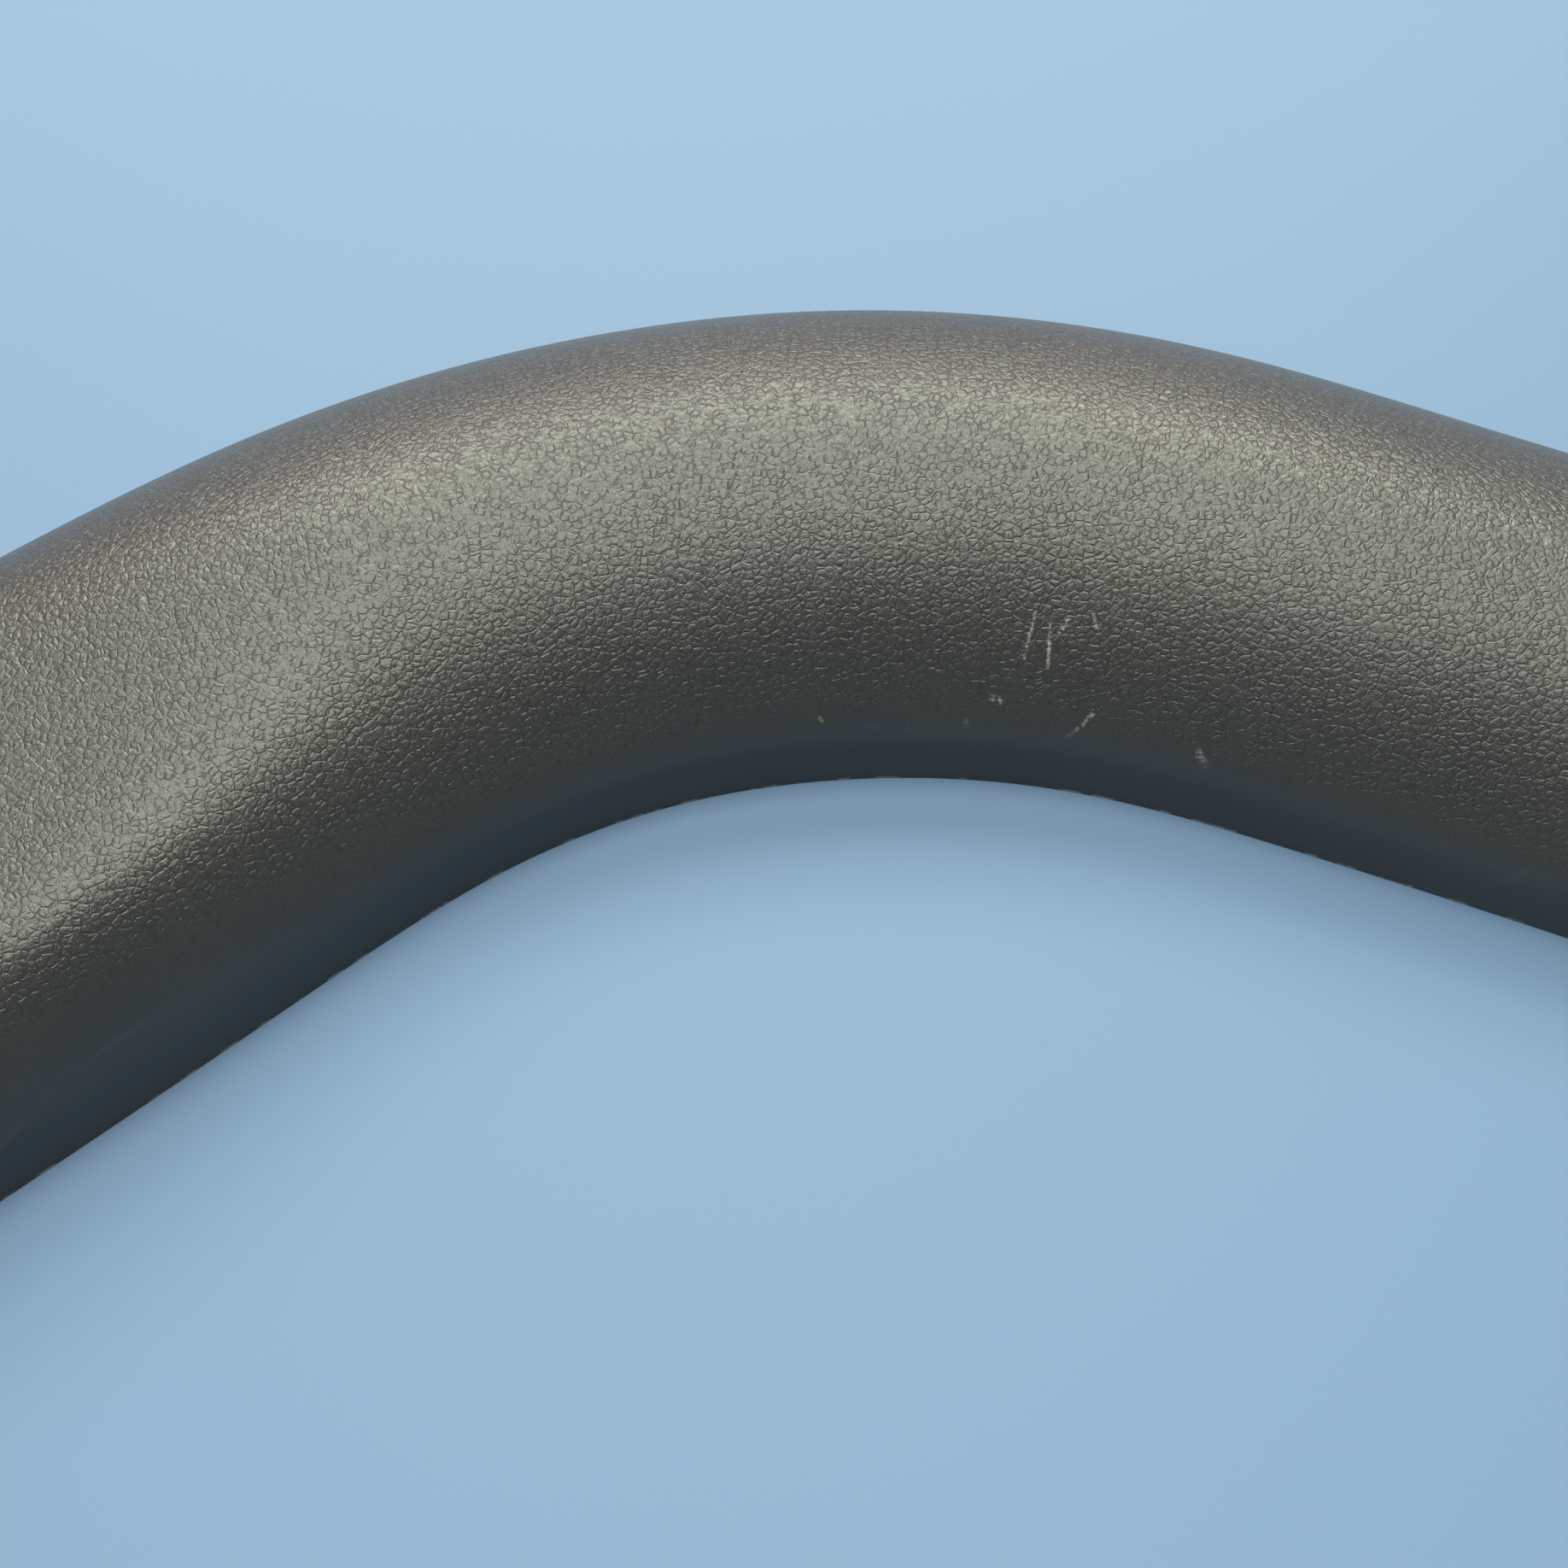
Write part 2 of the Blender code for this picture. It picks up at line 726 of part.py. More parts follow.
def make_rod(plan, material):
    """Bent steel rod, flush with the outer faces of both foot plates."""
    count = math.ceil(plan.length / ROD_STEP)
    curve = bpy.data.curves.new("core_rod", "CURVE")
    curve.dimensions = "3D"
    curve.bevel_depth = ROD_RADIUS
    curve.bevel_resolution = ROD_ROUNDNESS
    curve.use_fill_caps = True
    spline = curve.splines.new("POLY")
    spline.points.add(count)
    for i, point in enumerate(spline.points):
        point.co = (*plan.at(plan.length * i / count, 0.0, ROD_Z), 1.0)
    rod = bpy.data.objects.new("core_rod", curve)
    curve.materials.append(material)
    PARTS.objects.link(rod)
    rod.parent = FRAME
    return rod


def foot_spots(plan, end):
    """Stud offsets across a foot, inner one first, as world x."""
    x = plan.point(end).x
    narrower = min(width_at(plan, 0.0), width_at(plan, plan.length))
    offset = 0.5 * narrower - STUD_INSET
    towards_middle = offset if end == 0.0 else -offset
    return [x + towards_middle, x - towards_middle]


def slab(name, points, x, y, thickness, material):
    """An upright plate with an outline in x and z, from y - thickness to y."""

    def build(bm):
        ring = [bm.verts.new((x + n, y, z)) for n, z in points]
        face = bm.faces.new(ring)
        face.normal_update()
        if face.normal.y < 0.0:
            face.normal_flip()

    item = add_object(name, mesh_from(name, build), material)
    solidify(item, thickness)
    return item


def hole_tool(name, spots, y_low, y_high):
    """Cylinders along Y, given as (x, z, radius)."""

    def build(bm):
        for x, z, radius in spots:
            place = Matrix.Translation((x, 0.5 * (y_low + y_high), z))
            bmesh.ops.create_cone(
                bm,
                cap_ends=True,
                segments=ROUND_SIDES,
                radius1=radius,
                radius2=radius,
                depth=y_high - y_low,
                matrix=place @ Matrix.Rotation(math.pi / 2, 4, "X"),
            )

    return add_object(name, mesh_from(name, build))


def foot_outline(plan, s, distance, floor, fineness=1):
    """The cover's outline at a foot, inset by a distance and cut off level at a floor."""
    # At the left foot the way along is +Y, so an offset to its left is towards -X
    mirror = 1.0 if s > plan.middle else -1.0
    points = [(mirror * n, z) for n, z in inset(outline(plan, s, fineness), distance)]
    above = [i for i, (n, z) in enumerate(points) if z > floor + CUT_MARGIN]
    first, last = above[0], above[-1]
    start = crossing(points[first - 1], points[first], floor)
    finish = crossing(points[last + 1], points[last], floor)
    return [start, *points[first : last + 1], finish]


def crossing(below, above, level):
    """Where the line between two outline points passes a level."""
    share = (level - below[1]) / (above[1] - below[1])
    return (mix(below[0], above[0], share), level)


def make_foot(side, plan, end, materials):
    """One foot: plate, gasket, and two studs with their washers and nuts."""
    foot_y = plan.point(0.0).y
    x = plan.point(end).x
    studs = foot_spots(plan, end)

    inner_face = PLATE_THICKNESS if end == 0.0 else plan.length - PLATE_THICKNESS
    shape = foot_outline(plan, inner_face, COVER_WALL + CLEARANCE, BACK_TOP + CLEARANCE)
    plate_top = foot_y + PLATE_THICKNESS
    plate = slab(
        f"{side}_foot_plate", shape, x, plate_top, PLATE_THICKNESS, materials["steel"]
    )
    holes = [(spot, ROD_Z, STUD_HOLE_RADIUS) for spot in studs]
    holes.append((x, ROD_Z, ROD_RADIUS + CLEARANCE))
    plate_span = (foot_y - TRIM, plate_top + TRIM)
    combine(plate, hole_tool(f"{side}_plate_holes", holes, *plate_span), "DIFFERENCE")

    gasket_top = foot_y - CLEARANCE
    gasket_face = gasket_top - GASKET_THICKNESS
    shape = foot_outline(plan, end, GASKET_INSET, GASKET_INSET, GASKET_FINENESS)
    gasket = slab(f"{side}_gasket", shape, x, gasket_top, GASKET_THICKNESS, materials["rubber"])
    holes = [(spot, ROD_Z, STUD_HOLE_RADIUS) for spot in studs]
    gasket_span = (gasket_face - TRIM, gasket_top + TRIM)
    combine(gasket, hole_tool(f"{side}_gasket_holes", holes, *gasket_span), "DIFFERENCE")

    for spot, place in zip(studs, ("inner", "outer")):
        name = f"{side}_{place}"
        make_stud(f"{name}_stud", spot, foot_y, materials["zinc"])
        washer_y = gasket_face - PANEL_THICKNESS - CLEARANCE
        make_washer(f"{name}_washer", spot, washer_y, materials["zinc"])
        make_nut(f"{name}_nut", spot, washer_y - WASHER_THICKNESS - CLEARANCE, materials["zinc"])


def lay_on_y(item, x, y):
    """Turns a piece so that its +Z points out of the foot, along -Y, at the studs' height."""
    item.rotation_euler = (math.pi / 2, 0.0, 0.0)
    item.location = (x, y, ROD_Z)


def make_stud(name, x, foot_y, material):
    """Flanged stud: its flange lies behind the foot plate and its shank comes out through it."""
    seat = -(PLATE_THICKNESS + CLEARANCE)
    tip = CLEARANCE + GASKET_THICKNESS + STUD_LENGTH
    flange = STUD_RADIUS + STUD_FLANGE
    profile = (
        (0.0, tip),
        (STUD_RADIUS - STUD_CHAMFER, tip),
        (STUD_RADIUS, tip - STUD_CHAMFER),
        (STUD_RADIUS, seat),
        (flange, seat),
        (flange, seat - STUD_FLANGE_THICKNESS),
        (0.0, seat - STUD_FLANGE_THICKNESS),
    )
    lay_on_y(turned(name, profile, material), x, foot_y)


def make_washer(name, x, y, material):
    """Flat washer, a turned ring."""
    bore = STUD_HOLE_RADIUS
    rim = bore + WASHER_WIDTH
    profile = (
        (bore, 0.0),
        (bore, WASHER_THICKNESS),
        (rim, WASHER_THICKNESS),
        (rim, 0.0),
        (bore, 0.0),
    )
    lay_on_y(turned(name, profile, material), x, y)


def make_nut(name, x, y, material):
    """Lock nut: a hexagon with a round collar, bored for the stud."""
    corner = (STUD_RADIUS + NUT_WALL) / math.cos(math.pi / 6)
    height = NUT_HEX_HEIGHT + NUT_COLLAR_HEIGHT

    def hexagon(bm):
        add_cylinder(bm, Vector((0.0, 0.0)), corner, 0.0, NUT_HEX_HEIGHT, 6)

    def collar(bm):
        radius = STUD_RADIUS + NUT_COLLAR_WALL
        add_cylinder(bm, Vector((0.0, 0.0)), radius, 0.5 * NUT_HEX_HEIGHT, height)

    def bore(bm):
        add_cylinder(bm, Vector((0.0, 0.0)), STUD_HOLE_RADIUS, -TRIM, height + TRIM)

    nut = add_object(name, mesh_from(name, hexagon), material)
    for build, operation in ((collar, "UNION"), (bore, "DIFFERENCE")):
        tool = add_object(f"{name}_{build.__name__}", mesh_from(build.__name__, build))
        lay_on_y(tool, x, y)
        combine(nut, tool, operation)
    lay_on_y(nut, x, y)


# --------------------------------------------------------------------------------------------
# Assembly
# --------------------------------------------------------------------------------------------


def build_rail():
    plan = Plan()
    centre_plan(plan)
    grained = new_material("grained_charcoal_plastic", (0.035, 0.034, 0.031), 0.5)
    smooth = new_material("smooth_black_plastic", (0.02, 0.02, 0.02), 0.45)
    materials = {
        "steel": new_material("bright_steel", (0.55, 0.55, 0.54), 0.35, 1.0),
        "zinc": new_material("zinc_plated_steel", (0.62, 0.62, 0.58), 0.4, 1.0),
        "rubber": new_material("black_rubber", (0.02, 0.02, 0.02), 0.8),
    }
    make_top_cover(plan, grained)
    make_back_cover(plan, smooth)
    make_screws(plan, materials["zinc"], smooth)
    make_rod(plan, materials["steel"])
    make_foot("left", plan, 0.0, materials)
    make_foot("right", plan, plan.length, materials)
    print(f"rail length along its middle {plan.length * 1000:.1f} mm")


clear_scene()
PARTS = new_collection("grab_rail")
CUTTERS = new_collection("cutters")
FRAME = bpy.data.objects.new("rail_frame", None)
PARTS.objects.link(FRAME)
build_rail()
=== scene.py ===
# %% [markdown]
# # A moulded grab rail for a boat's cabin
#
# The rail is a bowed grip in two plastic halves, closed round a steel rod. A deep grained top
# half is what a hand holds, and a flat back half closes it. Each foot sits on a rubber gasket
# and is clamped to a bulkhead by two studs, with washers and lock nuts on the far side.
#
# The shapes and sizes come packed as a frame of CAD nodes. This script keeps every size and
# gives the pieces their finish: softened edges, real threads, moulded grain, rubber and zinc.
# It is written in the order a maker would work: shapes first, then materials, then light.

# %% Load the frame
import json
import math

import bmesh
import bpy
from mathutils import Matrix, Vector

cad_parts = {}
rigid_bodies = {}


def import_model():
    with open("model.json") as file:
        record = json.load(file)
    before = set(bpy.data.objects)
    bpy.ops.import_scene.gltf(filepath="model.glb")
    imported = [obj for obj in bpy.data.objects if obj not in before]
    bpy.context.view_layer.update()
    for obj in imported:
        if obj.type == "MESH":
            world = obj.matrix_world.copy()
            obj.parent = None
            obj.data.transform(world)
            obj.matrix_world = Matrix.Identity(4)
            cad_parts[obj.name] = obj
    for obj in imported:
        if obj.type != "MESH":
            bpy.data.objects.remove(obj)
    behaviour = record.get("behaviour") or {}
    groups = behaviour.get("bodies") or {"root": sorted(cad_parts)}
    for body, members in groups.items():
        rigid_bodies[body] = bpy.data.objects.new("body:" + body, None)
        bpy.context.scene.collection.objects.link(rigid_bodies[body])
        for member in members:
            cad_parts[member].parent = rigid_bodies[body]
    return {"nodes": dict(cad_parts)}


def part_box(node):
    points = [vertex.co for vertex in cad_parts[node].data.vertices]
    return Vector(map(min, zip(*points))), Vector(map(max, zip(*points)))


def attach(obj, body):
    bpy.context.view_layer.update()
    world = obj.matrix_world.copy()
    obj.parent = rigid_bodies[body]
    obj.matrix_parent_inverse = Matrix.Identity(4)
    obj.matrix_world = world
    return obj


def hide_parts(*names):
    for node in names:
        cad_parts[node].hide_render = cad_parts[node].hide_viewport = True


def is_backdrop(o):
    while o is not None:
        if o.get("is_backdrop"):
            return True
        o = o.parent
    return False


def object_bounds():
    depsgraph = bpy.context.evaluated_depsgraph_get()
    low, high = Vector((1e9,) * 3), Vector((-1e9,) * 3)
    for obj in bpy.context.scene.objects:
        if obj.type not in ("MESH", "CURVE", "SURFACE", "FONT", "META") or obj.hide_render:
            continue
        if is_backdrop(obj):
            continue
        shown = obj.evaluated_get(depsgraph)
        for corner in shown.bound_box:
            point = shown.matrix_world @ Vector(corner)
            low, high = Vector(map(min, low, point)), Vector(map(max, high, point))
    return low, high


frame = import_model()
cad_low, cad_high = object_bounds()

MM = 0.001  # sizes below are written in millimetres

print("CAD nodes:", len(frame["nodes"]))
print("CAD box in mm:", [round((b - a) / MM, 1) for a, b in zip(cad_low, cad_high)])

# %% [markdown]
# ## Hands for the work
#
# A Blender operator acts on whatever is selected, and loading the frame leaves all its nodes
# selected. These few helpers deselect first, open a piece in edit mode, and pick faces and
# edges by their place, as a mouse would. A last one bakes a piece's place into its mesh, so
# that every finished object sits unturned at the origin, as the CAD nodes do. It also weighs
# each corner's normal by the area of its faces, so that a narrow bevel takes up the bend and
# the broad flat face beside it still looks flat.


# %% Helpers for selecting and finishing
def pick(piece):
    """Leaves one object selected and active."""
    bpy.ops.object.select_all(action="DESELECT")
    piece.select_set(True)
    bpy.context.view_layer.objects.active = piece


def open_mesh(piece, mode="FACE"):
    """Enters edit mode on a piece with everything deselected."""
    pick(piece)
    bpy.ops.object.mode_set(mode="EDIT")
    bpy.ops.mesh.select_mode(type=mode)
    bpy.ops.mesh.select_all(action="DESELECT")


def close_mesh():
    """Leaves edit mode, which writes the changes back to the piece."""
    bpy.ops.object.mode_set(mode="OBJECT")


def select_where(piece, kind, wanted):
    """In edit mode, leaves selected only the verts, edges or faces that wanted says yes to."""
    bpy.ops.mesh.select_all(action="DESELECT")
    bm = bmesh.from_edit_mesh(piece.data)
    for element in getattr(bm, kind):
        if wanted(element):
            element.select_set(True)
    bmesh.update_edit_mesh(piece.data)


def apply_modifiers(piece):
    """Turns a piece's modifiers into plain mesh, in their order."""
    pick(piece)
    for modifier in list(piece.modifiers):
        bpy.ops.object.modifier_apply(modifier=modifier.name)


SMOOTH_BELOW = 30.0  # degrees between faces, below which they shade as one surface
CAST_SMOOTH_BELOW = 40.0  # the same for the moulded pieces, whose corners are rounder


def settle(piece, slot, *nodes, smooth=SMOOTH_BELOW, flat_faces=True):
    """Applies a piece's place, smooths it, and lets it stand for the CAD nodes it replaces."""
    pick(piece)
    bpy.ops.object.transform_apply(location=True, rotation=True, scale=True)
    bpy.ops.object.shade_smooth_by_angle(angle=math.radians(smooth))
    if flat_faces:
        weighing = piece.modifiers.new("flat faces stay flat", "WEIGHTED_NORMAL")
        weighing.keep_sharp = True
        apply_modifiers(piece)
    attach(piece, "root")
    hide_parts(*nodes)
    faces = sum(len(polygon.vertices) - 2 for polygon in piece.data.polygons)
    print(piece.name, "has", faces, "triangles")


# %% [markdown]
# ## The grained top half
#
# On the real rail this is one injection moulding: a D-shaped skin 2.4 mm thick that rolls over
# from a broad crown into nearly straight walls, with a raised ridge that runs down the inner
# edge of one leg. Its surface is one long smooth sweep, so facets would spoil every highlight.
#
# It could be swept again from a profile, but the CAD node already has the true shape as a
# clean grid of long faces. So a copy is welded, its triangles are joined back into four-sided
# faces, and a subdivision surface rounds the grid. Hard corners inside are creased to stay
# put, and the open rim gets the small round that a mould's parting edge has.

# %% Copy a CAD node as a welded, four-sided mesh
WELD = 0.001 * MM
HARD_EDGE = 40.0  # degrees between faces, above which an edge is a corner


def welded_copy(node, name):
    """A new piece with a CAD node's mesh, merged and joined back into four-sided faces."""
    piece = bpy.data.objects.new(name, frame["nodes"][node].data.copy())
    bpy.context.scene.collection.objects.link(piece)
    open_mesh(piece)
    bpy.ops.mesh.select_all(action="SELECT")
    bpy.ops.mesh.remove_doubles(threshold=WELD)
    limit = math.radians(HARD_EDGE)
    bpy.ops.mesh.tris_convert_to_quads(face_threshold=limit, shape_threshold=limit)
    close_mesh()
    bpy.ops.mesh.customdata_custom_splitnormals_clear()
    print(name, "starts with", len(piece.data.polygons), "faces")
    return piece


top_half = welded_copy("top_cover", "top_half")

# %% Round the rim and the ends, crease the rest, and subdivide
RIM_ROUND = 0.3 * MM
LEVELS = 1  # rounds of subdivision
ON_PLANE = 0.01 * MM  # a point this near a plane lies on it

foot_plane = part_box("top_cover")[0].y


def on_rim(edge):
    """An edge of the open side, or of a foot's cut end."""
    low = all(vert.co.z < ON_PLANE for vert in edge.verts)
    at_foot = all(vert.co.y < foot_plane + ON_PLANE for vert in edge.verts)
    return (low or at_foot) and edge.calc_face_angle(0.0) > math.radians(HARD_EDGE)


def is_corner(edge):
    return edge.calc_face_angle(0.0) > math.radians(HARD_EDGE)


open_mesh(top_half, "EDGE")
select_where(top_half, "edges", on_rim)
bpy.ops.mesh.bevel(offset=RIM_ROUND, segments=2, clamp_overlap=True)
select_where(top_half, "edges", is_corner)
bpy.ops.transform.edge_crease(value=1.0)
close_mesh()

rounding = top_half.modifiers.new("rounding", "SUBSURF")
rounding.levels = LEVELS
rounding.render_levels = LEVELS
apply_modifiers(top_half)
settle(top_half, "grained_plastic", "top_cover", smooth=CAST_SMOOTH_BELOW, flat_faces=False)

# %% [markdown]
# ## The flat back half
#
# The back half is a second moulding that drops into the open side, half a millimetre below the
# rim. Its ten screw wells and the saddles for the rod are all inside, so what shows is a flat
# face with ten round recesses. A moulding never has a knife edge, so every corner is given a
# small bevel. A bevel modifier limited by angle finds the corners by itself, which is quicker
# and more even than picking hundreds of edges.

# %% Bevel the back half
BACK_ROUND = 0.2 * MM


def soften(piece, width, segments=2):
    """Bevels every corner of a piece by the same small width."""
    bevel = piece.modifiers.new("softened edges", "BEVEL")
    bevel.width = width
    bevel.segments = segments
    bevel.limit_method = "ANGLE"
    bevel.angle_limit = math.radians(HARD_EDGE)
    bevel.use_clamp_overlap = True
    apply_modifiers(piece)


back_half = welded_copy("back_cover", "back_half")
soften(back_half, BACK_ROUND)
settle(back_half, "smooth_plastic", "back_cover", smooth=CAST_SMOOTH_BELOW)

# %% [markdown]
# ## Round pieces, turned ring by ring
#
# The plugs, studs, washers and the body of a nut are all round, so one way of working serves
# them all. A disc is added where the piece starts, and it is extruded along the piece's axis
# and scaled to the next radius, ring after ring, as a potter pulls up a wall. Each ring is a
# distance along the axis and a radius, which is how a turner reads a drawing.


# %% A helper that turns a piece along -Y or -Z
def centre_of(node):
    """The middle of a CAD node's box."""
    low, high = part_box(node)
    return (low + high) / 2


def turned(name, centre, axis, rings, sides=64):
    """A solid of the given rings, each a place on the axis and a radius there."""
    spread = (1, 0, 1) if axis == "Y" else (1, 1, 0)
    number = "XYZ".index(axis)
    turn = (math.radians(90), 0, 0) if axis == "Y" else (math.radians(180), 0, 0)

    def on_axis(place):
        point = Vector(centre)
        point[number] = place
        return point

    place, radius = rings[0]
    bpy.ops.object.select_all(action="DESELECT")
    bpy.ops.mesh.primitive_circle_add(
        vertices=sides, radius=radius, fill_type="NGON", location=on_axis(place), rotation=turn
    )
    piece = bpy.context.object
    piece.name = name
    bpy.ops.object.mode_set(mode="EDIT")
    bpy.ops.mesh.select_mode(type="FACE")
    for next_place, next_radius in rings[1:]:
        step = on_axis(next_place) - on_axis(place)
        bpy.ops.mesh.extrude_region_move(TRANSFORM_OT_translate={"value": step})
        scale = [next_radius / radius if share else 1.0 for share in spread]
        bpy.ops.transform.resize(value=scale, center_override=on_axis(next_place))
        place, radius = next_place, next_radius
    bpy.ops.mesh.select_all(action="SELECT")
    bpy.ops.mesh.normals_make_consistent(inside=False)
    close_mesh()
    bpy.ops.object.transform_apply(location=True, rotation=True, scale=True)
    return piece


def cut(piece, tool, operation="DIFFERENCE"):
    """Cuts, joins or intersects a piece with a tool, and removes the tool."""
    boolean = piece.modifiers.new(operation.lower(), "BOOLEAN")
    boolean.operation = operation
    boolean.solver = "EXACT"
    boolean.object = tool
    apply_modifiers(piece)
    bpy.data.objects.remove(tool)


def copies(piece, places, first):
    """Gives a finished piece a copy, with its own mesh, for each node's centre in places."""
    for name, node in places.items():
        if node == first:
            continue
        mesh = piece.data.copy()
        mesh.transform(Matrix.Translation(centre_of(node) - centre_of(first)))
        copy = bpy.data.objects.new(name, mesh)
        bpy.context.scene.collection.objects.link(copy)
        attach(copy, "root")
        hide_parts(node)


# %% [markdown]
# ## Plugs over the screws
#
# Ten small caps close the recesses over the screw heads, flush with the back. Each is a disc
# with softened edges and a shallow dish in its face, and a notch at the rim takes the tip of a
# screwdriver when the cap has to come out. One is turned and notched, and nine are copies.

# %% Turn one plug and copy it
PLUG_ROUND = 0.15 * MM
DISH_WIDTH = 0.9 * MM  # flat ring left round the dish
DISH_DEPTH = 0.15 * MM
NOTCH = Vector((1.3, 0.9, 0.5)) * MM
PLUG_SIDES = 48

plug_nodes = {
    f"plug_{side}_{number}": f"screw_plug_{side}_{number}"
    for side in ("inner", "outer")
    for number in range(1, 6)
}
first_plug = plug_nodes["plug_inner_1"]
plug_low, plug_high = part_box(first_plug)
plug_radius = (plug_high.x - plug_low.x) / 2
plug_centre = centre_of(first_plug)

plug = turned(
    "plug_inner_1",
    plug_centre,
    "Z",
    [
        (plug_high.z, plug_radius - PLUG_ROUND),
        (plug_high.z - PLUG_ROUND, plug_radius),
        (plug_low.z + PLUG_ROUND, plug_radius),
        (plug_low.z, plug_radius - PLUG_ROUND),
        (plug_low.z, plug_radius - DISH_WIDTH),
        (plug_low.z + DISH_DEPTH, plug_radius - DISH_WIDTH - DISH_DEPTH),
    ],
    sides=PLUG_SIDES,
)
notch_place = Vector((plug_centre.x, plug_centre.y + plug_radius, plug_low.z))
bpy.ops.mesh.primitive_cube_add(size=1, location=notch_place, scale=NOTCH)
cut(plug, bpy.context.object)
settle(plug, "smooth_plastic", first_plug)
copies(plug, plug_nodes, first_plug)

# %% [markdown]
# ## Threaded studs
#
# Each stud is a 6 mm bolt with a low round head inside the foot and a rolled thread of 1 mm
# pitch outside it. Rings would only look like a thread from far away, so a real helix is made:
# one tooth's outline is drawn point by point and a Screw modifier winds it round the axis. The
# wound thread is longer than the stud. Intersecting it with a turned, chamfered blank cuts it to
# length and gives it the lead-in that a nut needs, and then the head is joined on.

# %% Wind one thread
PITCH = 1.0 * MM
ROOT_RADIUS = 2.45 * MM
CREST_RADIUS = 2.97 * MM
TOOTH = [(0.25, ROOT_RADIUS), (0.53, CREST_RADIUS), (0.69, CREST_RADIUS), (1.0, ROOT_RADIUS)]
WIND_STEPS = 32

stud_nodes = {
    f"stud_{foot}_{side}": f"{foot}_{side}_stud"
    for foot in ("left", "right")
    for side in ("inner", "outer")
}
first_stud = stud_nodes["stud_left_inner"]
stud_low, stud_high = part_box(first_stud)
stud_centre = centre_of(first_stud)
gasket_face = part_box("left_gasket")[0].y

thread_start = Vector((stud_centre.x, gasket_face + 2 * PITCH, stud_centre.z))
turns = math.ceil((thread_start.y - stud_low.y) / PITCH) + 2

bpy.ops.object.select_all(action="DESELECT")
bpy.ops.mesh.primitive_plane_add(size=MM, location=thread_start)
thread = bpy.context.object
thread.name = "stud_left_inner"
bpy.ops.object.mode_set(mode="EDIT")
bpy.ops.mesh.select_mode(type="VERT")
bpy.ops.mesh.select_all(action="SELECT")
bpy.ops.mesh.merge(type="CENTER")
bpy.ops.transform.translate(value=(ROOT_RADIUS, 0, 0))
share, radius = 0.0, ROOT_RADIUS
for next_share, next_radius in TOOTH:
    step = (next_radius - radius, -(next_share - share) * PITCH, 0)
    bpy.ops.mesh.extrude_vertices_move(TRANSFORM_OT_translate={"value": step})
    share, radius = next_share, next_radius
close_mesh()

winding = thread.modifiers.new("winding", "SCREW")
winding.axis = "Y"
winding.screw_offset = -PITCH
winding.iterations = turns
winding.steps = WIND_STEPS
winding.render_steps = WIND_STEPS
apply_modifiers(thread)
open_mesh(thread)
bpy.ops.mesh.select_all(action="SELECT")
bpy.ops.mesh.remove_doubles(threshold=WELD)
bpy.ops.mesh.select_all(action="SELECT")
bpy.ops.mesh.fill_holes(sides=0)
bpy.ops.mesh.select_all(action="SELECT")
bpy.ops.mesh.normals_make_consistent(inside=False)
close_mesh()
print("thread:", turns, "turns,", len(thread.data.polygons), "faces")

# %% Shape the thread to its blank and join its head
TIP_CHAMFER = 0.8 * MM
HEAD_RADIUS = (stud_high.x - stud_low.x) / 2
HEAD_HEIGHT = 1.5 * MM
HEAD_ROUND = 0.3 * MM
SHANK_RADIUS = 3.0 * MM
SPARE = 0.2 * MM  # a blank or a drill reaches this much past what it shapes
RUN_OUT = 0.2 * PITCH  # length over which the smooth shank narrows to the thread's root

thread_top = gasket_face + 0.5 * PITCH
blank_radius = CREST_RADIUS + SPARE
blank = turned(
    "blank",
    stud_centre,
    "Y",
    [
        (thread_top, blank_radius),
        (stud_low.y + TIP_CHAMFER + SPARE, blank_radius),
        (stud_low.y, blank_radius - TIP_CHAMFER - SPARE),
    ],
)
cut(thread, blank, "INTERSECT")

head = turned(
    "head",
    stud_centre,
    "Y",
    [
        (stud_high.y, HEAD_RADIUS - HEAD_ROUND),
        (stud_high.y - HEAD_ROUND, HEAD_RADIUS),
        (stud_high.y - HEAD_HEIGHT, HEAD_RADIUS),
        (stud_high.y - HEAD_HEIGHT, SHANK_RADIUS),
        (gasket_face + RUN_OUT, SHANK_RADIUS),
        (gasket_face, ROOT_RADIUS),
    ],
)
cut(thread, head, "UNION")
settle(thread, "zinc_fasteners", first_stud)
copies(thread, stud_nodes, first_stud)

# %% [markdown]
# ## Washers
#
# A flat washer is punched from sheet, so one side has a soft rolled edge and the bore is clean.
# A thin disc is turned with soft outer edges, both faces are inset to the bore's radius, and
# the two inner faces are bridged, which opens the hole and builds its wall in one step.

# %% Turn a washer and bridge its bore
WASHER_ROUND = 0.2 * MM
WASHER_BORE = 3.3 * MM
WASHER_SIDES = 72

washer_nodes = {
    f"washer_{foot}_{side}": f"{foot}_{side}_washer"
    for foot in ("left", "right")
    for side in ("inner", "outer")
}
first_washer = washer_nodes["washer_left_inner"]
washer_low, washer_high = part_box(first_washer)
washer_radius = (washer_high.x - washer_low.x) / 2
washer = turned(
    "washer_left_inner",
    stud_centre,
    "Y",
    [
        (washer_high.y, washer_radius - WASHER_ROUND),
        (washer_high.y - WASHER_ROUND, washer_radius),
        (washer_low.y + WASHER_ROUND, washer_radius),
        (washer_low.y, washer_radius - WASHER_ROUND),
    ],
    sides=WASHER_SIDES,
)


def bore_through(piece, face_radius, bore_radius):
    """Insets a round piece's two end faces to the bore and bridges them."""
    open_mesh(piece)
    select_where(piece, "faces", lambda face: len(face.verts) > 4)  # the wall's have four
    bpy.ops.mesh.inset(thickness=face_radius - bore_radius, use_individual=True)
    bpy.ops.mesh.bridge_edge_loops()
    close_mesh()


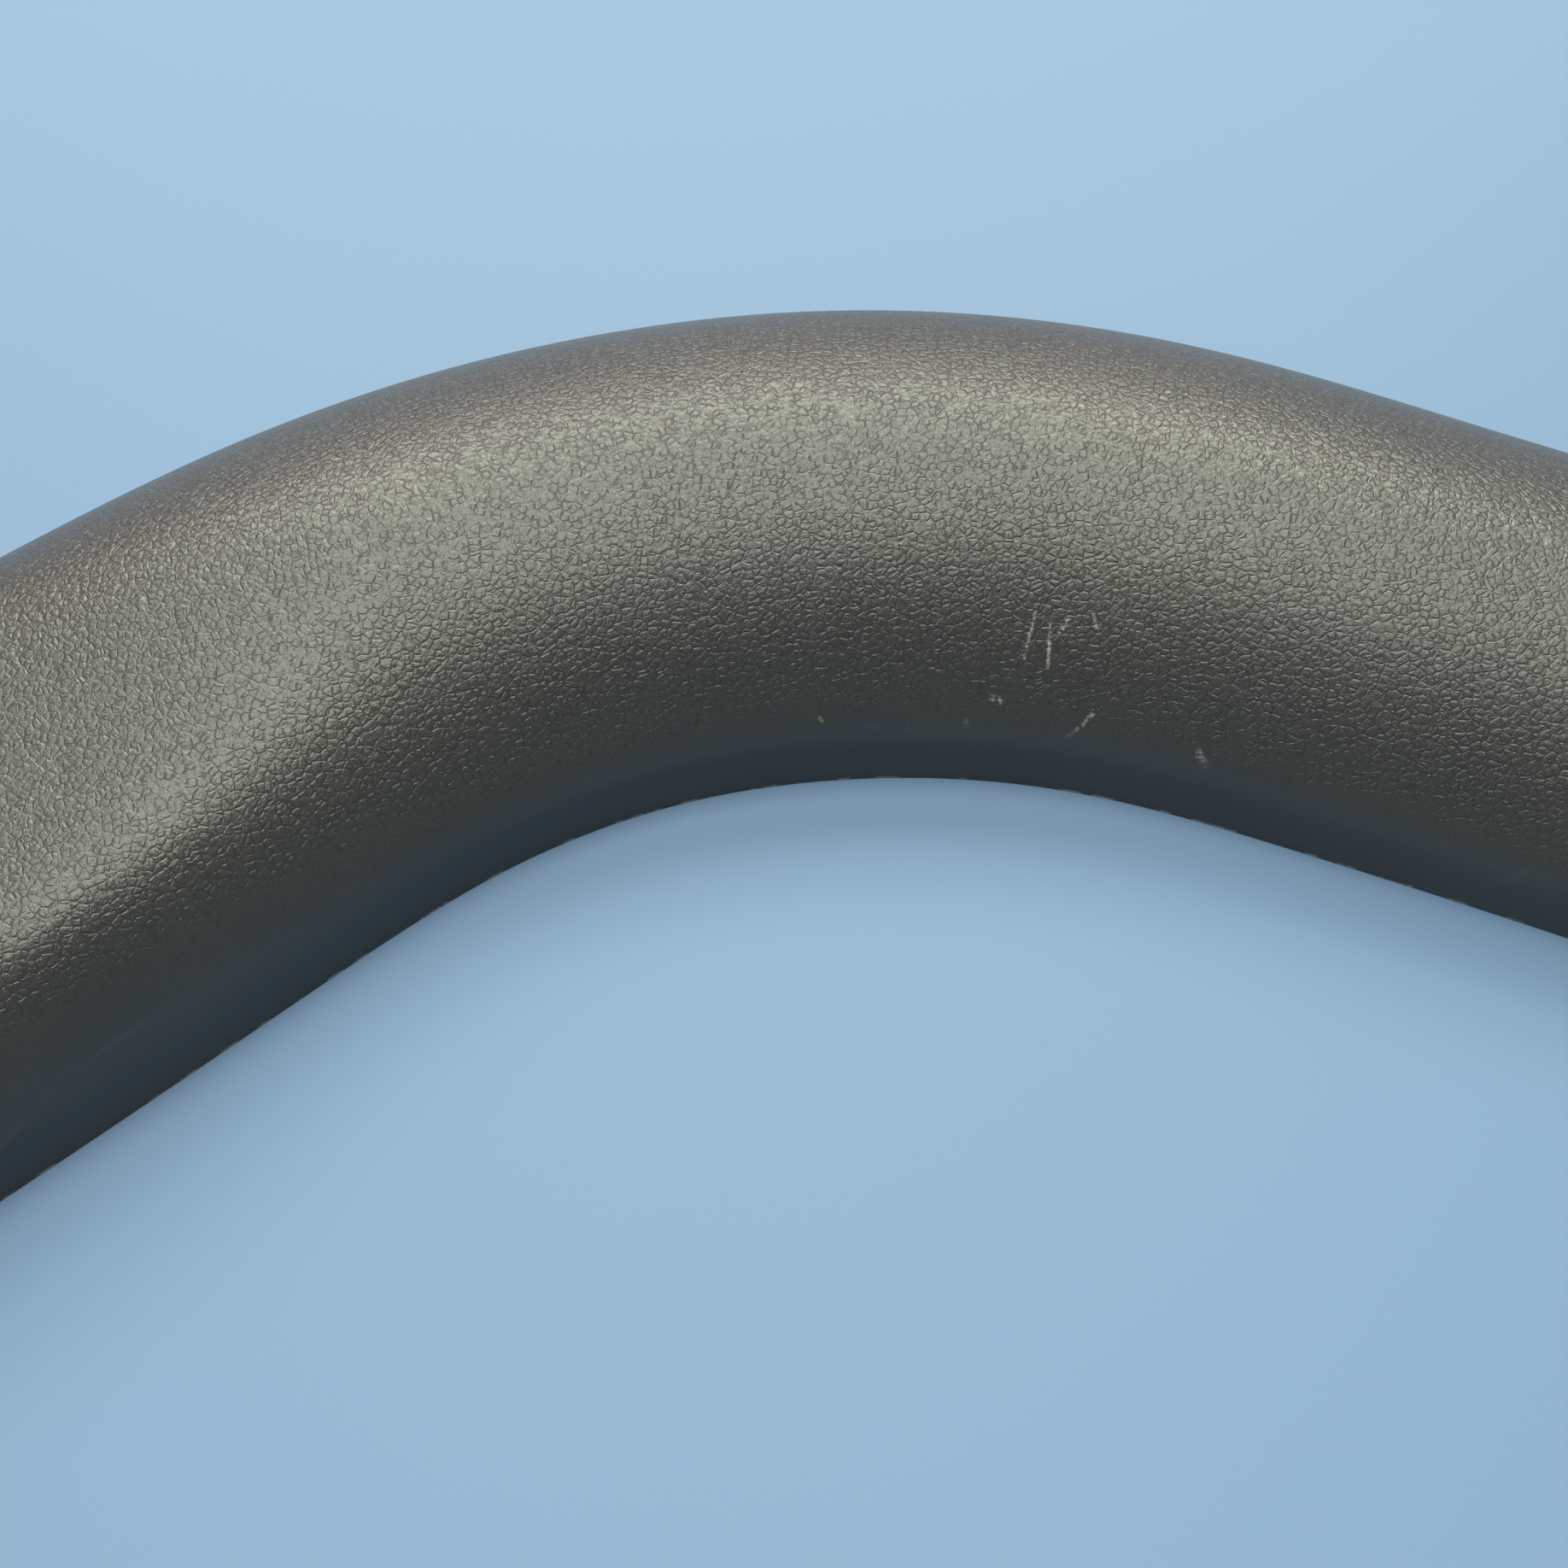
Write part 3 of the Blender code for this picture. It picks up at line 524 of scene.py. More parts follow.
bore_through(washer, washer_radius - WASHER_ROUND, WASHER_BORE)
settle(washer, "zinc_fasteners", first_washer)
copies(washer, washer_nodes, first_washer)

# %% [markdown]
# ## Lock nuts
#
# A lock nut is a hexagon cut from bar, with its corners taken off by a cone, and a thin collar
# rolled over a nylon ring that grips the thread. The hexagon starts as a six-sided cylinder.
# Intersecting it with a turned, double-coned blank leaves the curved edges that a real nut
# has where the cone crosses each flat. The collar is turned and joined on, and the bore and
# the ring's seat are cut last. The nylon ring is its own small piece, pressed into the seat.

# %% Shape one nut
CORNER_CONE = 30.0  # degrees between the nut's face and the cone
CONE_WIDTH = 0.95 * MM
NUT_BORE = 3.02 * MM
COLLAR_RADIUS = 4.3 * MM
COLLAR_HEIGHT = 1.8 * MM
COLLAR_ROUND = 0.5 * MM
COLLAR_FOOT = 0.5 * MM  # how far the collar runs into the hexagon
SEAT_RADIUS = 3.65 * MM
SEAT_DEPTH = 1.5 * MM
CONE_SPARE = 0.01 * MM  # keeps the blank's wall just outside the hexagon's corners
CONE_SIDES = 96

nut_nodes = {
    f"nut_{foot}_{side}": f"{foot}_{side}_nut"
    for foot in ("left", "right")
    for side in ("inner", "outer")
}
first_nut = nut_nodes["nut_left_inner"]
nut_low, nut_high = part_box(first_nut)
corner_radius = (nut_high.z - nut_low.z) / 2
hexagon_end = nut_low.y + COLLAR_HEIGHT
cone_depth = CONE_WIDTH * math.tan(math.radians(CORNER_CONE))

bpy.ops.object.select_all(action="DESELECT")
bpy.ops.mesh.primitive_cylinder_add(
    vertices=6,
    radius=corner_radius,
    depth=nut_high.y - hexagon_end,
    location=(stud_centre.x, (nut_high.y + hexagon_end) / 2, stud_centre.z),
    rotation=(math.radians(90), 0, 0),
)
nut = bpy.context.object
nut.name = "nut_left_inner"
nut_blank = turned(
    "nut_blank",
    stud_centre,
    "Y",
    [
        (nut_high.y, corner_radius - CONE_WIDTH),
        (nut_high.y - cone_depth, corner_radius + CONE_SPARE),
        (hexagon_end + cone_depth, corner_radius + CONE_SPARE),
        (hexagon_end, corner_radius - CONE_WIDTH),
    ],
    sides=CONE_SIDES,
)
cut(nut, nut_blank, "INTERSECT")

collar = turned(
    "collar",
    stud_centre,
    "Y",
    [
        (hexagon_end + COLLAR_FOOT, COLLAR_RADIUS),
        (nut_low.y + COLLAR_ROUND, COLLAR_RADIUS),
        (nut_low.y + 0.4 * COLLAR_ROUND, COLLAR_RADIUS - 0.2 * COLLAR_ROUND),
        (nut_low.y, COLLAR_RADIUS - 0.8 * COLLAR_ROUND),
    ],
)
cut(nut, collar, "UNION")
ends = [(nut_high.y + SPARE, NUT_BORE), (nut_low.y - SPARE, NUT_BORE)]
cut(nut, turned("bore", stud_centre, "Y", ends))
seat_end = nut_low.y + SEAT_DEPTH
ends = [(seat_end, SEAT_RADIUS), (nut_low.y - SPARE, SEAT_RADIUS)]
cut(nut, turned("seat", stud_centre, "Y", ends))
settle(nut, "zinc_fasteners", first_nut)
copies(nut, nut_nodes, first_nut)

# %% Press a nylon ring into each nut
RING_GAP = 0.03 * MM
RING_ROUND = 0.15 * MM
RING_SUNK = 0.25 * MM  # how far the ring lies below the collar's lip

ring_radius = SEAT_RADIUS - RING_GAP
ring = turned(
    "nylon_ring_left_inner",
    stud_centre,
    "Y",
    [
        (seat_end - RING_GAP, ring_radius),
        (nut_low.y + RING_SUNK + RING_ROUND, ring_radius),
        (nut_low.y + RING_SUNK, ring_radius - RING_ROUND),
    ],
)
ends = [(nut_high.y, NUT_BORE), (nut_low.y - SPARE, NUT_BORE)]
cut(ring, turned("ring_bore", stud_centre, "Y", ends))
pick(ring)
bpy.ops.object.shade_smooth_by_angle(angle=math.radians(SMOOTH_BELOW))
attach(ring, "root")
for name, node in nut_nodes.items():
    if node != first_nut:
        mesh = ring.data.copy()
        mesh.transform(Matrix.Translation(centre_of(node) - centre_of(first_nut)))
        another = bpy.data.objects.new(name.replace("nut", "nylon_ring"), mesh)
        bpy.context.scene.collection.objects.link(another)
        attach(another, "root")

# %% [markdown]
# ## Rubber gaskets
#
# A rubber pad under each foot seals the stud holes and protects the bulkhead. Only its outline
# is taken from the CAD node: everything else is deleted, the outline is filled and extruded to
# the pad's thickness. Two insets make a narrow band near the edge, and the band is pushed in,
# which is the groove that gives the rubber somewhere to go when the nuts are tightened. The
# holes are cut last, each with a shallow step round the stud.

# %% Cut each gasket from its outline, with a groove and two holes
LAND_WIDTH = 1.2 * MM
GROOVE_WIDTH = 0.8 * MM
GROOVE_DEPTH = 0.4 * MM
GASKET_ROUND = 0.25 * MM
SEAT_RING = 0.9 * MM  # width of the shallow step round each hole
FACES_OUT = -0.9  # a normal's Y on the face that meets the bulkhead

for foot in ("left", "right"):
    node = f"{foot}_gasket"
    studs = [centre_of(f"{foot}_{side}_stud") for side in ("inner", "outer")]
    low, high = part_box(node)
    gasket = welded_copy(node, f"gasket_{foot}")

    def on_outline(edge):
        """An edge round the outer face, but not round a hole."""
        middle = (edge.verts[0].co + edge.verts[1].co) / 2
        from_stud = min(math.dist((middle.x, middle.z), (stud.x, stud.z)) for stud in studs)
        flat = max(vert.co.y for vert in edge.verts) < low.y + WELD
        at_corner = edge.calc_face_angle(0.0) > math.radians(HARD_EDGE)
        return flat and at_corner and from_stud > WASHER_BORE + MM

    open_mesh(gasket, "EDGE")
    select_where(gasket, "edges", on_outline)
    bpy.ops.mesh.select_all(action="INVERT")
    bpy.ops.mesh.delete(type="EDGE")
    bpy.ops.mesh.select_all(action="SELECT")
    bpy.ops.mesh.edge_face_add()
    bpy.ops.mesh.extrude_region_move(TRANSFORM_OT_translate={"value": (0, high.y - low.y, 0)})
    bpy.ops.mesh.select_all(action="SELECT")
    bpy.ops.mesh.normals_make_consistent(inside=False)
    bpy.ops.mesh.select_mode(type="FACE")
    select_where(gasket, "faces", lambda face: face.normal.y < FACES_OUT)
    bpy.ops.mesh.inset(thickness=LAND_WIDTH, use_even_offset=True)
    bpy.ops.mesh.inset(thickness=GROOVE_WIDTH, use_even_offset=True, use_select_inset=True)
    bpy.ops.mesh.extrude_region_move(TRANSFORM_OT_translate={"value": (0, GROOVE_DEPTH, 0)})
    close_mesh()

    for stud in studs:
        steps = [
            (low.y - SPARE, WASHER_BORE + SEAT_RING),
            (low.y + GROOVE_DEPTH, WASHER_BORE + SEAT_RING),
            (low.y + GROOVE_DEPTH, WASHER_BORE),
            (high.y + SPARE, WASHER_BORE),
        ]
        cut(gasket, turned("hole", stud, "Y", steps))
    soften(gasket, GASKET_ROUND)
    settle(gasket, "gasket_rubber", node, smooth=CAST_SMOOTH_BELOW)

# %% [markdown]
# ## Finishes, and how they are wired
#
# A finish is a small network of nodes: coordinates go in, patterns are made from noise and
# cells, and the results feed the colour, roughness and bump of one Principled shader. Wiring
# them by hand in code is wordy, so a few helpers add a node and fill its sockets in one line.
# Effects that several finishes share are node groups, made once and placed with other values.


# %% Helpers for wiring shader nodes
def add(tree, kind, **settings):
    node = tree.nodes.new(kind)
    for name, value in settings.items():
        setattr(node, name, value)
    return node


def feed(tree, socket, value):
    """Links another socket into this one, or types a number or a colour into it."""
    if isinstance(value, bpy.types.NodeSocket):
        tree.links.new(value, socket)
    else:
        socket.default_value = value


def maths(tree, operation, *values):
    node = add(tree, "ShaderNodeMath", operation=operation)
    for socket, value in zip(node.inputs, values):
        feed(tree, socket, value)
    return node.outputs[0]


def vectors(tree, operation, *values, output=0):
    node = add(tree, "ShaderNodeVectorMath", operation=operation)
    for socket, value in zip(node.inputs, values):
        feed(tree, socket, value)
    return node.outputs[output]


def ease(tree, value, low, high, at_low=0.0, at_high=1.0):
    """A smooth step: at_low below low, at_high above high, and a soft run between."""
    node = add(tree, "ShaderNodeMapRange", interpolation_type="SMOOTHSTEP")
    for socket, number in zip(node.inputs, (value, low, high, at_low, at_high)):
        feed(tree, socket, number)
    return node.outputs[0]


def noise(tree, vector, scale, detail=2.0, output="Fac"):
    node = add(tree, "ShaderNodeTexNoise")
    feed(tree, node.inputs["Vector"], vector)
    feed(tree, node.inputs["Scale"], scale)
    feed(tree, node.inputs["Detail"], detail)
    return node.outputs[output]


def blend_colours(tree, factor, first, second):
    node = add(tree, "ShaderNodeMix", data_type="RGBA")
    feed(tree, node.inputs["Factor"], factor)
    feed(tree, node.inputs[6], first)
    feed(tree, node.inputs[7], second)
    return node.outputs[2]


def new_group(name, inputs, outputs):
    """A node group with named sockets; gives the group, its inputs and its outputs."""
    group = bpy.data.node_groups.new(name, "ShaderNodeTree")
    for title, kind in inputs.items():
        group.interface.new_socket(title, in_out="INPUT", socket_type=kind)
    for title in outputs:
        group.interface.new_socket(title, in_out="OUTPUT", socket_type="NodeSocketFloat")
    start = group.nodes.new("NodeGroupInput")
    end = group.nodes.new("NodeGroupOutput")
    return group, start.outputs, end.inputs


def place(tree, group, **values):
    """Places a group in a material; a value's name is its socket's, with _ for a space."""
    node = add(tree, "ShaderNodeGroup", node_tree=group)
    for title, value in values.items():
        feed(tree, node.inputs[title.replace("_", " ")], value)
    return node.outputs


def new_finish(name):
    """A material with its Principled shader and the object's own coordinates."""
    material = bpy.data.materials.new(name)
    material.use_nodes = True
    tree = material.node_tree
    coordinates = add(tree, "ShaderNodeTexCoord")
    return material, tree, tree.nodes["Principled BSDF"], coordinates.outputs


def bump(tree, shader, height, depth):
    """Turns a height pattern from 0 to 1 into relief of the given depth."""
    node = add(tree, "ShaderNodeBump")
    feed(tree, node.inputs["Height"], height)
    feed(tree, node.inputs["Distance"], depth)
    feed(tree, shader.inputs["Normal"], node.outputs["Normal"])


FLOAT = "NodeSocketFloat"
VECTOR = "NodeSocketVector"

# %% [markdown]
# ## Where edges are: an attribute for wear
#
# Plating wears off the crests of a thread and moulded corners polish in use, so a finish has
# to know where the edges are. Each new piece can be asked: at every vertex, the sharpest edge
# that meets there is measured, bulging edges count up and hollow ones count down, and the two
# are stored as attributes that a material reads by name.


# %% Mark bulging and hollow edges on every new piece
FULL_WEAR_ANGLE = 40.0  # degrees of bend at which an edge counts fully
BROAD_FACE = 150 * MM**2  # a mark on the corner of such a face would smear right across it


def mark_edges(piece):
    bm = bmesh.new()
    bm.from_mesh(piece.data)
    bends = []
    for vert in bm.verts:
        broad = any(face.calc_area() > BROAD_FACE for face in vert.link_faces)
        angles = [0.0 if broad else edge.calc_face_angle_signed(0.0) for edge in vert.link_edges]
        bends.append((max(angles, default=0.0), min(angles, default=0.0)))
    bm.free()
    full = math.radians(FULL_WEAR_ANGLE)
    bulge = piece.data.attributes.new("bulge", "FLOAT", "POINT")
    hollow = piece.data.attributes.new("hollow", "FLOAT", "POINT")
    bulge.data.foreach_set("value", [min(max(high / full, 0.0), 1.0) for high, low in bends])
    hollow.data.foreach_set("value", [min(max(-low / full, 0.0), 1.0) for high, low in bends])


new_pieces = [
    piece
    for piece in bpy.context.scene.objects
    if piece.type == "MESH" and piece.name not in frame["nodes"]
]
for piece in new_pieces:
    mark_edges(piece)
print("edges marked on", len(new_pieces), "pieces")


def mark(tree, name):
    return add(tree, "ShaderNodeAttribute", attribute_name=name).outputs["Fac"]


# %% [markdown]
# ## The moulded pebble grain
#
# A grab rail's top is etched in the mould so that wet hands don't slip. The grain is a field of
# low pebbles, each about a millimetre across, parted by thin creases that come and go: some
# are deep, some fade out halfway. Cells from a Voronoi texture give the pebbles, and their
# distance to the edge gives the creases. A perfect net of cells looks like fish scales, so the
# coordinates are pushed about by noise, a finer second net is laid over the first, and more
# noise breaks both nets into separate strokes.

# %% The pebbled grain group
SECOND_NET = 1.7  # how much finer the second net is
SECOND_SHIFT = 0.31  # moves the second net off the first
SECOND_SHARE = 0.45  # depth of its creases beside the first net's
BENDS = 900.0  # bends per metre in both nets
STROKE_PATCH = 1250.0  # patches per metre that break the creases up
PATCH_FADE = (0.24, 0.60)  # noise levels between which a crease fades in
DOME = 0.4  # width of a pebble's shoulder, and its height beside a crease's depth
FINE_GRAIN = 5200.0
FINE_HEIGHT = 0.12

pebbles, given, wanted = new_group(
    "Pebbled grain",
    {"Vector": VECTOR, "Cells": FLOAT, "Wander": FLOAT, "Crease": FLOAT, "Presence": FLOAT},
    ["Height", "Creases"],
)
sway = noise(pebbles, given["Vector"], BENDS, 1.0, "Color")
push = vectors(pebbles, "SUBTRACT", sway, (0.5, 0.5, 0.5))
push_far = vectors(pebbles, "SCALE", push)
feed(pebbles, push_far.node.inputs["Scale"], given["Wander"])
warped = vectors(pebbles, "ADD", given["Vector"], push_far)


def crease_net(scale, strength_scale, offset):
    """One net of creases, broken up by patches of noise; gives the net and the cell distance."""
    net = add(pebbles, "ShaderNodeTexVoronoi", feature="DISTANCE_TO_EDGE")
    feed(pebbles, net.inputs["Vector"], vectors(pebbles, "ADD", warped, (offset, offset, 0)))
    feed(pebbles, net.inputs["Scale"], scale)
    line = ease(pebbles, net.outputs["Distance"], 0.0, given["Crease"], 1.0, 0.0)
    patches = ease(pebbles, noise(pebbles, given["Vector"], strength_scale, 1.0), *PATCH_FADE)
    return maths(pebbles, "MULTIPLY", line, patches), net.outputs["Distance"]


coarse, distance = crease_net(given["Cells"], STROKE_PATCH, 0.0)
finer_cells = maths(pebbles, "MULTIPLY", given["Cells"], SECOND_NET)
fine, _ = crease_net(finer_cells, SECOND_NET * STROKE_PATCH, SECOND_SHIFT)
creases = maths(pebbles, "MAXIMUM", coarse, maths(pebbles, "MULTIPLY", fine, SECOND_SHARE))
dome = ease(pebbles, distance, 0.0, DOME)
relief = maths(pebbles, "MULTIPLY_ADD", dome, DOME, maths(pebbles, "MULTIPLY", creases, -1.0))
relief = maths(pebbles, "MULTIPLY", relief, given["Presence"])
fine_noise = noise(pebbles, given["Vector"], FINE_GRAIN, 3.0)
fine_relief = maths(pebbles, "MULTIPLY", fine_noise, FINE_HEIGHT)
feed(pebbles, wanted["Height"], maths(pebbles, "ADD", relief, fine_relief))
feed(pebbles, wanted["Creases"], maths(pebbles, "MULTIPLY", creases, given["Presence"]))
print("grain group:", len(pebbles.nodes), "nodes")

# %% [markdown]
# ## Handling wear
#
# Nothing that hands use stays even. Faint dust lies in cloudy patches, made of noise with many
# octaves. Hairline scratches are contour lines of a slow, smooth noise, which are long, thin
# and nearly straight, and a second noise keeps only short lengths of them.

# %% The handling wear group
CLOUD_FADE = (0.48, 0.78)
SPECKS = 1900.0  # dust specks per metre
SPECK_FADE = (0.5, 0.68)
SPECK_SHARE = 0.7  # how much of the dust is specks and not haze
CONTOURS = 14.0
HAIR_WIDTH = 0.03  # of the gap between two contours
LENGTHS = 140.0  # patches per metre that cut the contours short
LENGTH_FADE = (0.56, 0.62)

wear, given, wanted = new_group(
    "Handling wear", {"Vector": VECTOR, "Patches": FLOAT, "Hairs": FLOAT}, ["Dust", "Hairlines"]
)
clouds = ease(wear, noise(wear, given["Vector"], given["Patches"], 6.0), *CLOUD_FADE)
specks = ease(wear, noise(wear, given["Vector"], SPECKS, 2.0), *SPECK_FADE)
specks = maths(wear, "MULTIPLY_ADD", specks, SPECK_SHARE, 1 - SPECK_SHARE)
feed(wear, wanted["Dust"], maths(wear, "MULTIPLY", clouds, specks))
levels = maths(wear, "MULTIPLY", noise(wear, given["Vector"], given["Hairs"], 0.0), CONTOURS)
run = maths(wear, "ABSOLUTE", maths(wear, "SUBTRACT", maths(wear, "FRACT", levels), 0.5))
hair = ease(wear, run, 0.0, HAIR_WIDTH, 1.0, 0.0)
short = ease(wear, noise(wear, given["Vector"], LENGTHS, 2.0), *LENGTH_FADE)
feed(wear, wanted["Hairlines"], maths(wear, "MULTIPLY", hair, short))

# %% [markdown]
# ## Fine moulded and cast texture
#
# Smooth-looking plastic, rubber and plate are never mirror smooth. A very fine noise gives the
# bump that turns a sharp reflection into a satin one, and a slow noise lets colour and
# roughness drift a little from place to place.

# %% The fine texture group
DRIFT_FADE = (0.3, 0.7)

satin, given, wanted = new_group(
    "Fine texture", {"Vector": VECTOR, "Grains": FLOAT, "Drifts": FLOAT}, ["Height", "Drift"]
)
grains = noise(satin, given["Vector"], given["Grains"], 3.0)
feed(satin, wanted["Height"], grains)
drifting = noise(satin, given["Vector"], given["Drifts"], 4.0)
feed(satin, wanted["Drift"], ease(satin, drifting, *DRIFT_FADE))

# %% [markdown]
# ## Scuff marks
#
# Along the crown a few short pale scuffs show where something hard dragged over the grain.
# Each is a stroke between two points in plan: the distance from the surface to that short
# line gives a soft band, noise makes its edge ragged, and more noise skips over the hollows,
# as a real scuff only touches the tops of the grain.

# %% The scuff stroke group
TATTERS = 2200.0  # per metre along a stroke's edge
RAGGEDNESS = 0.4 * MM
SKIPS = 2600.0  # per metre, where a stroke misses the hollows
SKIP_FADE = (0.36, 0.6)

stroke, given, wanted = new_group(
    "Scuff stroke", {"Vector": VECTOR, "Start": VECTOR, "End": VECTOR, "Width": FLOAT}, ["Mask"]
)
in_plan = vectors(stroke, "MULTIPLY", given["Vector"], (1, 1, 0))
from_start = vectors(stroke, "SUBTRACT", in_plan, given["Start"])
along = vectors(stroke, "SUBTRACT", given["End"], given["Start"])
reach = vectors(stroke, "DOT_PRODUCT", from_start, along, output=1)
length = vectors(stroke, "DOT_PRODUCT", along, along, output=1)
share = maths(stroke, "DIVIDE", reach, length)
share.node.use_clamp = True
nearest = vectors(stroke, "SCALE", along)
feed(stroke, nearest.node.inputs["Scale"], share)
away = vectors(stroke, "LENGTH", vectors(stroke, "SUBTRACT", from_start, nearest), output=1)
tatters = noise(stroke, given["Vector"], TATTERS, 3.0)
ragged = maths(stroke, "MULTIPLY_ADD", tatters, RAGGEDNESS, -RAGGEDNESS / 2)
band = ease(stroke, maths(stroke, "ADD", away, ragged), 0.0, given["Width"], 1.0, 0.0)
skips = ease(stroke, noise(stroke, given["Vector"], SKIPS, 2.0), *SKIP_FADE)
feed(stroke, wanted["Mask"], maths(stroke, "MULTIPLY", band, skips))

# %% [markdown]
# ## Grained plastic for the top half
#
# The plastic is a dark warm grey with a satin skin. The grain is on the crown only: a mould
# can't release deep grain from steep walls, so it fades out where the surface turns down. The
# surface's own upward lean, the Z of its normal, makes that fade. The creases are painted a
# little darker than the pebbles, which is painted shade, and scuffs are paler and duller. Along
# the open rim a broken pale line stands for trimmed flash and is partly a painted highlight on
# the rim's rounded corners.

# %% Wire the grained plastic
PLASTIC = (0.040, 0.039, 0.032, 1)
PLASTIC_DRIFT = (0.034, 0.034, 0.030, 1)
# painted shade: the near black that the grain's creases are darkened towards
CREASE_SHADE = (0.010, 0.010, 0.010, 1)
DUST = (0.10, 0.098, 0.092, 1)
# pale colour of the scuffs, also used for the painted highlight along the rim
SCUFF_AND_RIM_HIGHLIGHT = (0.34, 0.33, 0.31, 1)
PLASTIC_IOR = 1.6
GRAIN_CELLS = 1330.0  # pebbles per metre
GRAIN_DEPTH = 0.048 * MM
GRAIN_WANDER = 0.4 * MM
CREASE_WIDTH = 0.16  # of a cell
STEEP, LEVEL = 0.35, 0.66  # normal's Z between which the grain fades in
SMOOTH_DULL, GRAIN_DULL = 0.17, 0.33  # roughness of the walls and of the crown
# height and breaks of the pale rim line: partly trimmed flash, partly a painted highlight
FLASH_AND_HIGHLIGHT_HEIGHT = 0.28 * MM
FLASH_AND_HIGHLIGHT_TEARS = 420.0  # breaks per metre in the flash line
TEAR_FADE = (0.5, 0.62)
RIM_FACE = (-0.95, -0.7)  # normal's Z below which the flat rim face stays clean
SCUFFS = [  # start and end in plan and the width, all in mm
    ((31.4, 21.2), (30.0, 18.4), 0.24),
    ((32.6, 20.3), (32.0, 17.4), 0.24),
    ((34.3, 20.2), (33.3, 19.3), 0.22),
    ((36.4, 19.9), (36.5, 18.8), 0.22),
    ((35.6, 13.6), (34.6, 13.1), 0.30),
    ((34.6, 13.1), (32.9, 12.8), 0.24),
    ((44.2, 8.6), (44.8, 7.7), 0.38),
    ((26.8, 16.7), (27.7, 16.3), 0.30),
    ((24.4, 15.8), (24.6, 15.6), 0.32),
    ((11.3, 18.2), (11.5, 18.0), 0.26),
    ((19.4, 16.6), (19.5, 16.3), 0.24),
]

grained_plastic, tree, shader, where = new_finish("grained_plastic")
point = where["Object"]
lean = add(tree, "ShaderNodeSeparateXYZ")
feed(tree, lean.inputs[0], where["Normal"])
level = ease(tree, lean.outputs["Z"], STEEP, LEVEL)
height_above = add(tree, "ShaderNodeSeparateXYZ")
feed(tree, height_above.inputs[0], point)

grain = place(
    tree,
    pebbles,
    Vector=point,
    Cells=GRAIN_CELLS,
    Wander=GRAIN_WANDER,
    Crease=CREASE_WIDTH,
    Presence=level,
)
worn = place(tree, wear, Vector=point, Patches=42.0, Hairs=9.0)
drift = place(tree, satin, Vector=point, Grains=FINE_GRAIN, Drifts=35.0)["Drift"]

scuffed = 0.0
for start, end, width in SCUFFS:
    ends = [(x * MM, y * MM, 0) for x, y in (start, end)]
    mask = place(tree, stroke, Vector=point, Start=ends[0], End=ends[1], Width=width * MM)["Mask"]
    scuffed = maths(tree, "MAXIMUM", scuffed, mask)
scuffed = maths(tree, "MULTIPLY", scuffed, level)

# A broken pale line on the rim's rounded corners: partly trimmed flash, partly a painted
# highlight.
near_rim = ease(tree, height_above.outputs["Z"], 0.0, FLASH_AND_HIGHLIGHT_HEIGHT, 1.0, 0.0)
torn = ease(tree, noise(tree, point, FLASH_AND_HIGHLIGHT_TEARS, 4.0), *TEAR_FADE)
off_rim_face = ease(tree, lean.outputs["Z"], *RIM_FACE)
flash_and_highlight = maths(tree, "MULTIPLY", maths(tree, "MULTIPLY", near_rim, torn), off_rim_face)

colour = blend_colours(tree, drift, PLASTIC, PLASTIC_DRIFT)
# Painted shade: the colour is darkened in the grain's creases.
colour = blend_colours(tree, maths(tree, "MULTIPLY", grain["Creases"], 0.4), colour, CREASE_SHADE)
colour = blend_colours(tree, maths(tree, "MULTIPLY", worn["Dust"], 0.07), colour, DUST)
colour = blend_colours(tree, maths(tree, "MULTIPLY", worn["Hairlines"], 0.15), colour, DUST)
scuffed = maths(tree, "MULTIPLY", scuffed, 0.8)
# Scuffs and the rim line share one pale colour; the rim line is partly a painted highlight.
pale = maths(tree, "MAXIMUM", scuffed, maths(tree, "MULTIPLY", flash_and_highlight, 0.7))
feed(tree, shader.inputs["Base Color"], blend_colours(tree, pale, colour, SCUFF_AND_RIM_HIGHLIGHT))
dulled = ease(tree, level, 0.0, 1.0, SMOOTH_DULL, GRAIN_DULL)
dulled = maths(tree, "MULTIPLY_ADD", drift, 0.02, dulled)
dulled = maths(tree, "MULTIPLY_ADD", pale, 0.2, dulled)
feed(tree, shader.inputs["Roughness"], dulled)
shader.inputs["IOR"].default_value = PLASTIC_IOR
bump(tree, shader, grain["Height"], GRAIN_DEPTH)
print("grained plastic:", len(tree.nodes), "nodes")

# %% [markdown]
# ## Satin plastic for the back half and the plugs
#
# The back half faces the bulkhead, so its mould was only spark finished: an even satin with no
# pebbles. Corners polish to a slightly lighter grey where the bulge attribute is high, and
# dust gathers where the hollow attribute is high. The plugs are the same plastic from a
# better polished mould, so one function makes both finishes with different numbers.


# %% Wire the satin plastics
POLISHED = (0.075, 0.074, 0.071, 1)
DRIFT_DARKER = 0.8  # the darker end of the colour's drift, beside its base


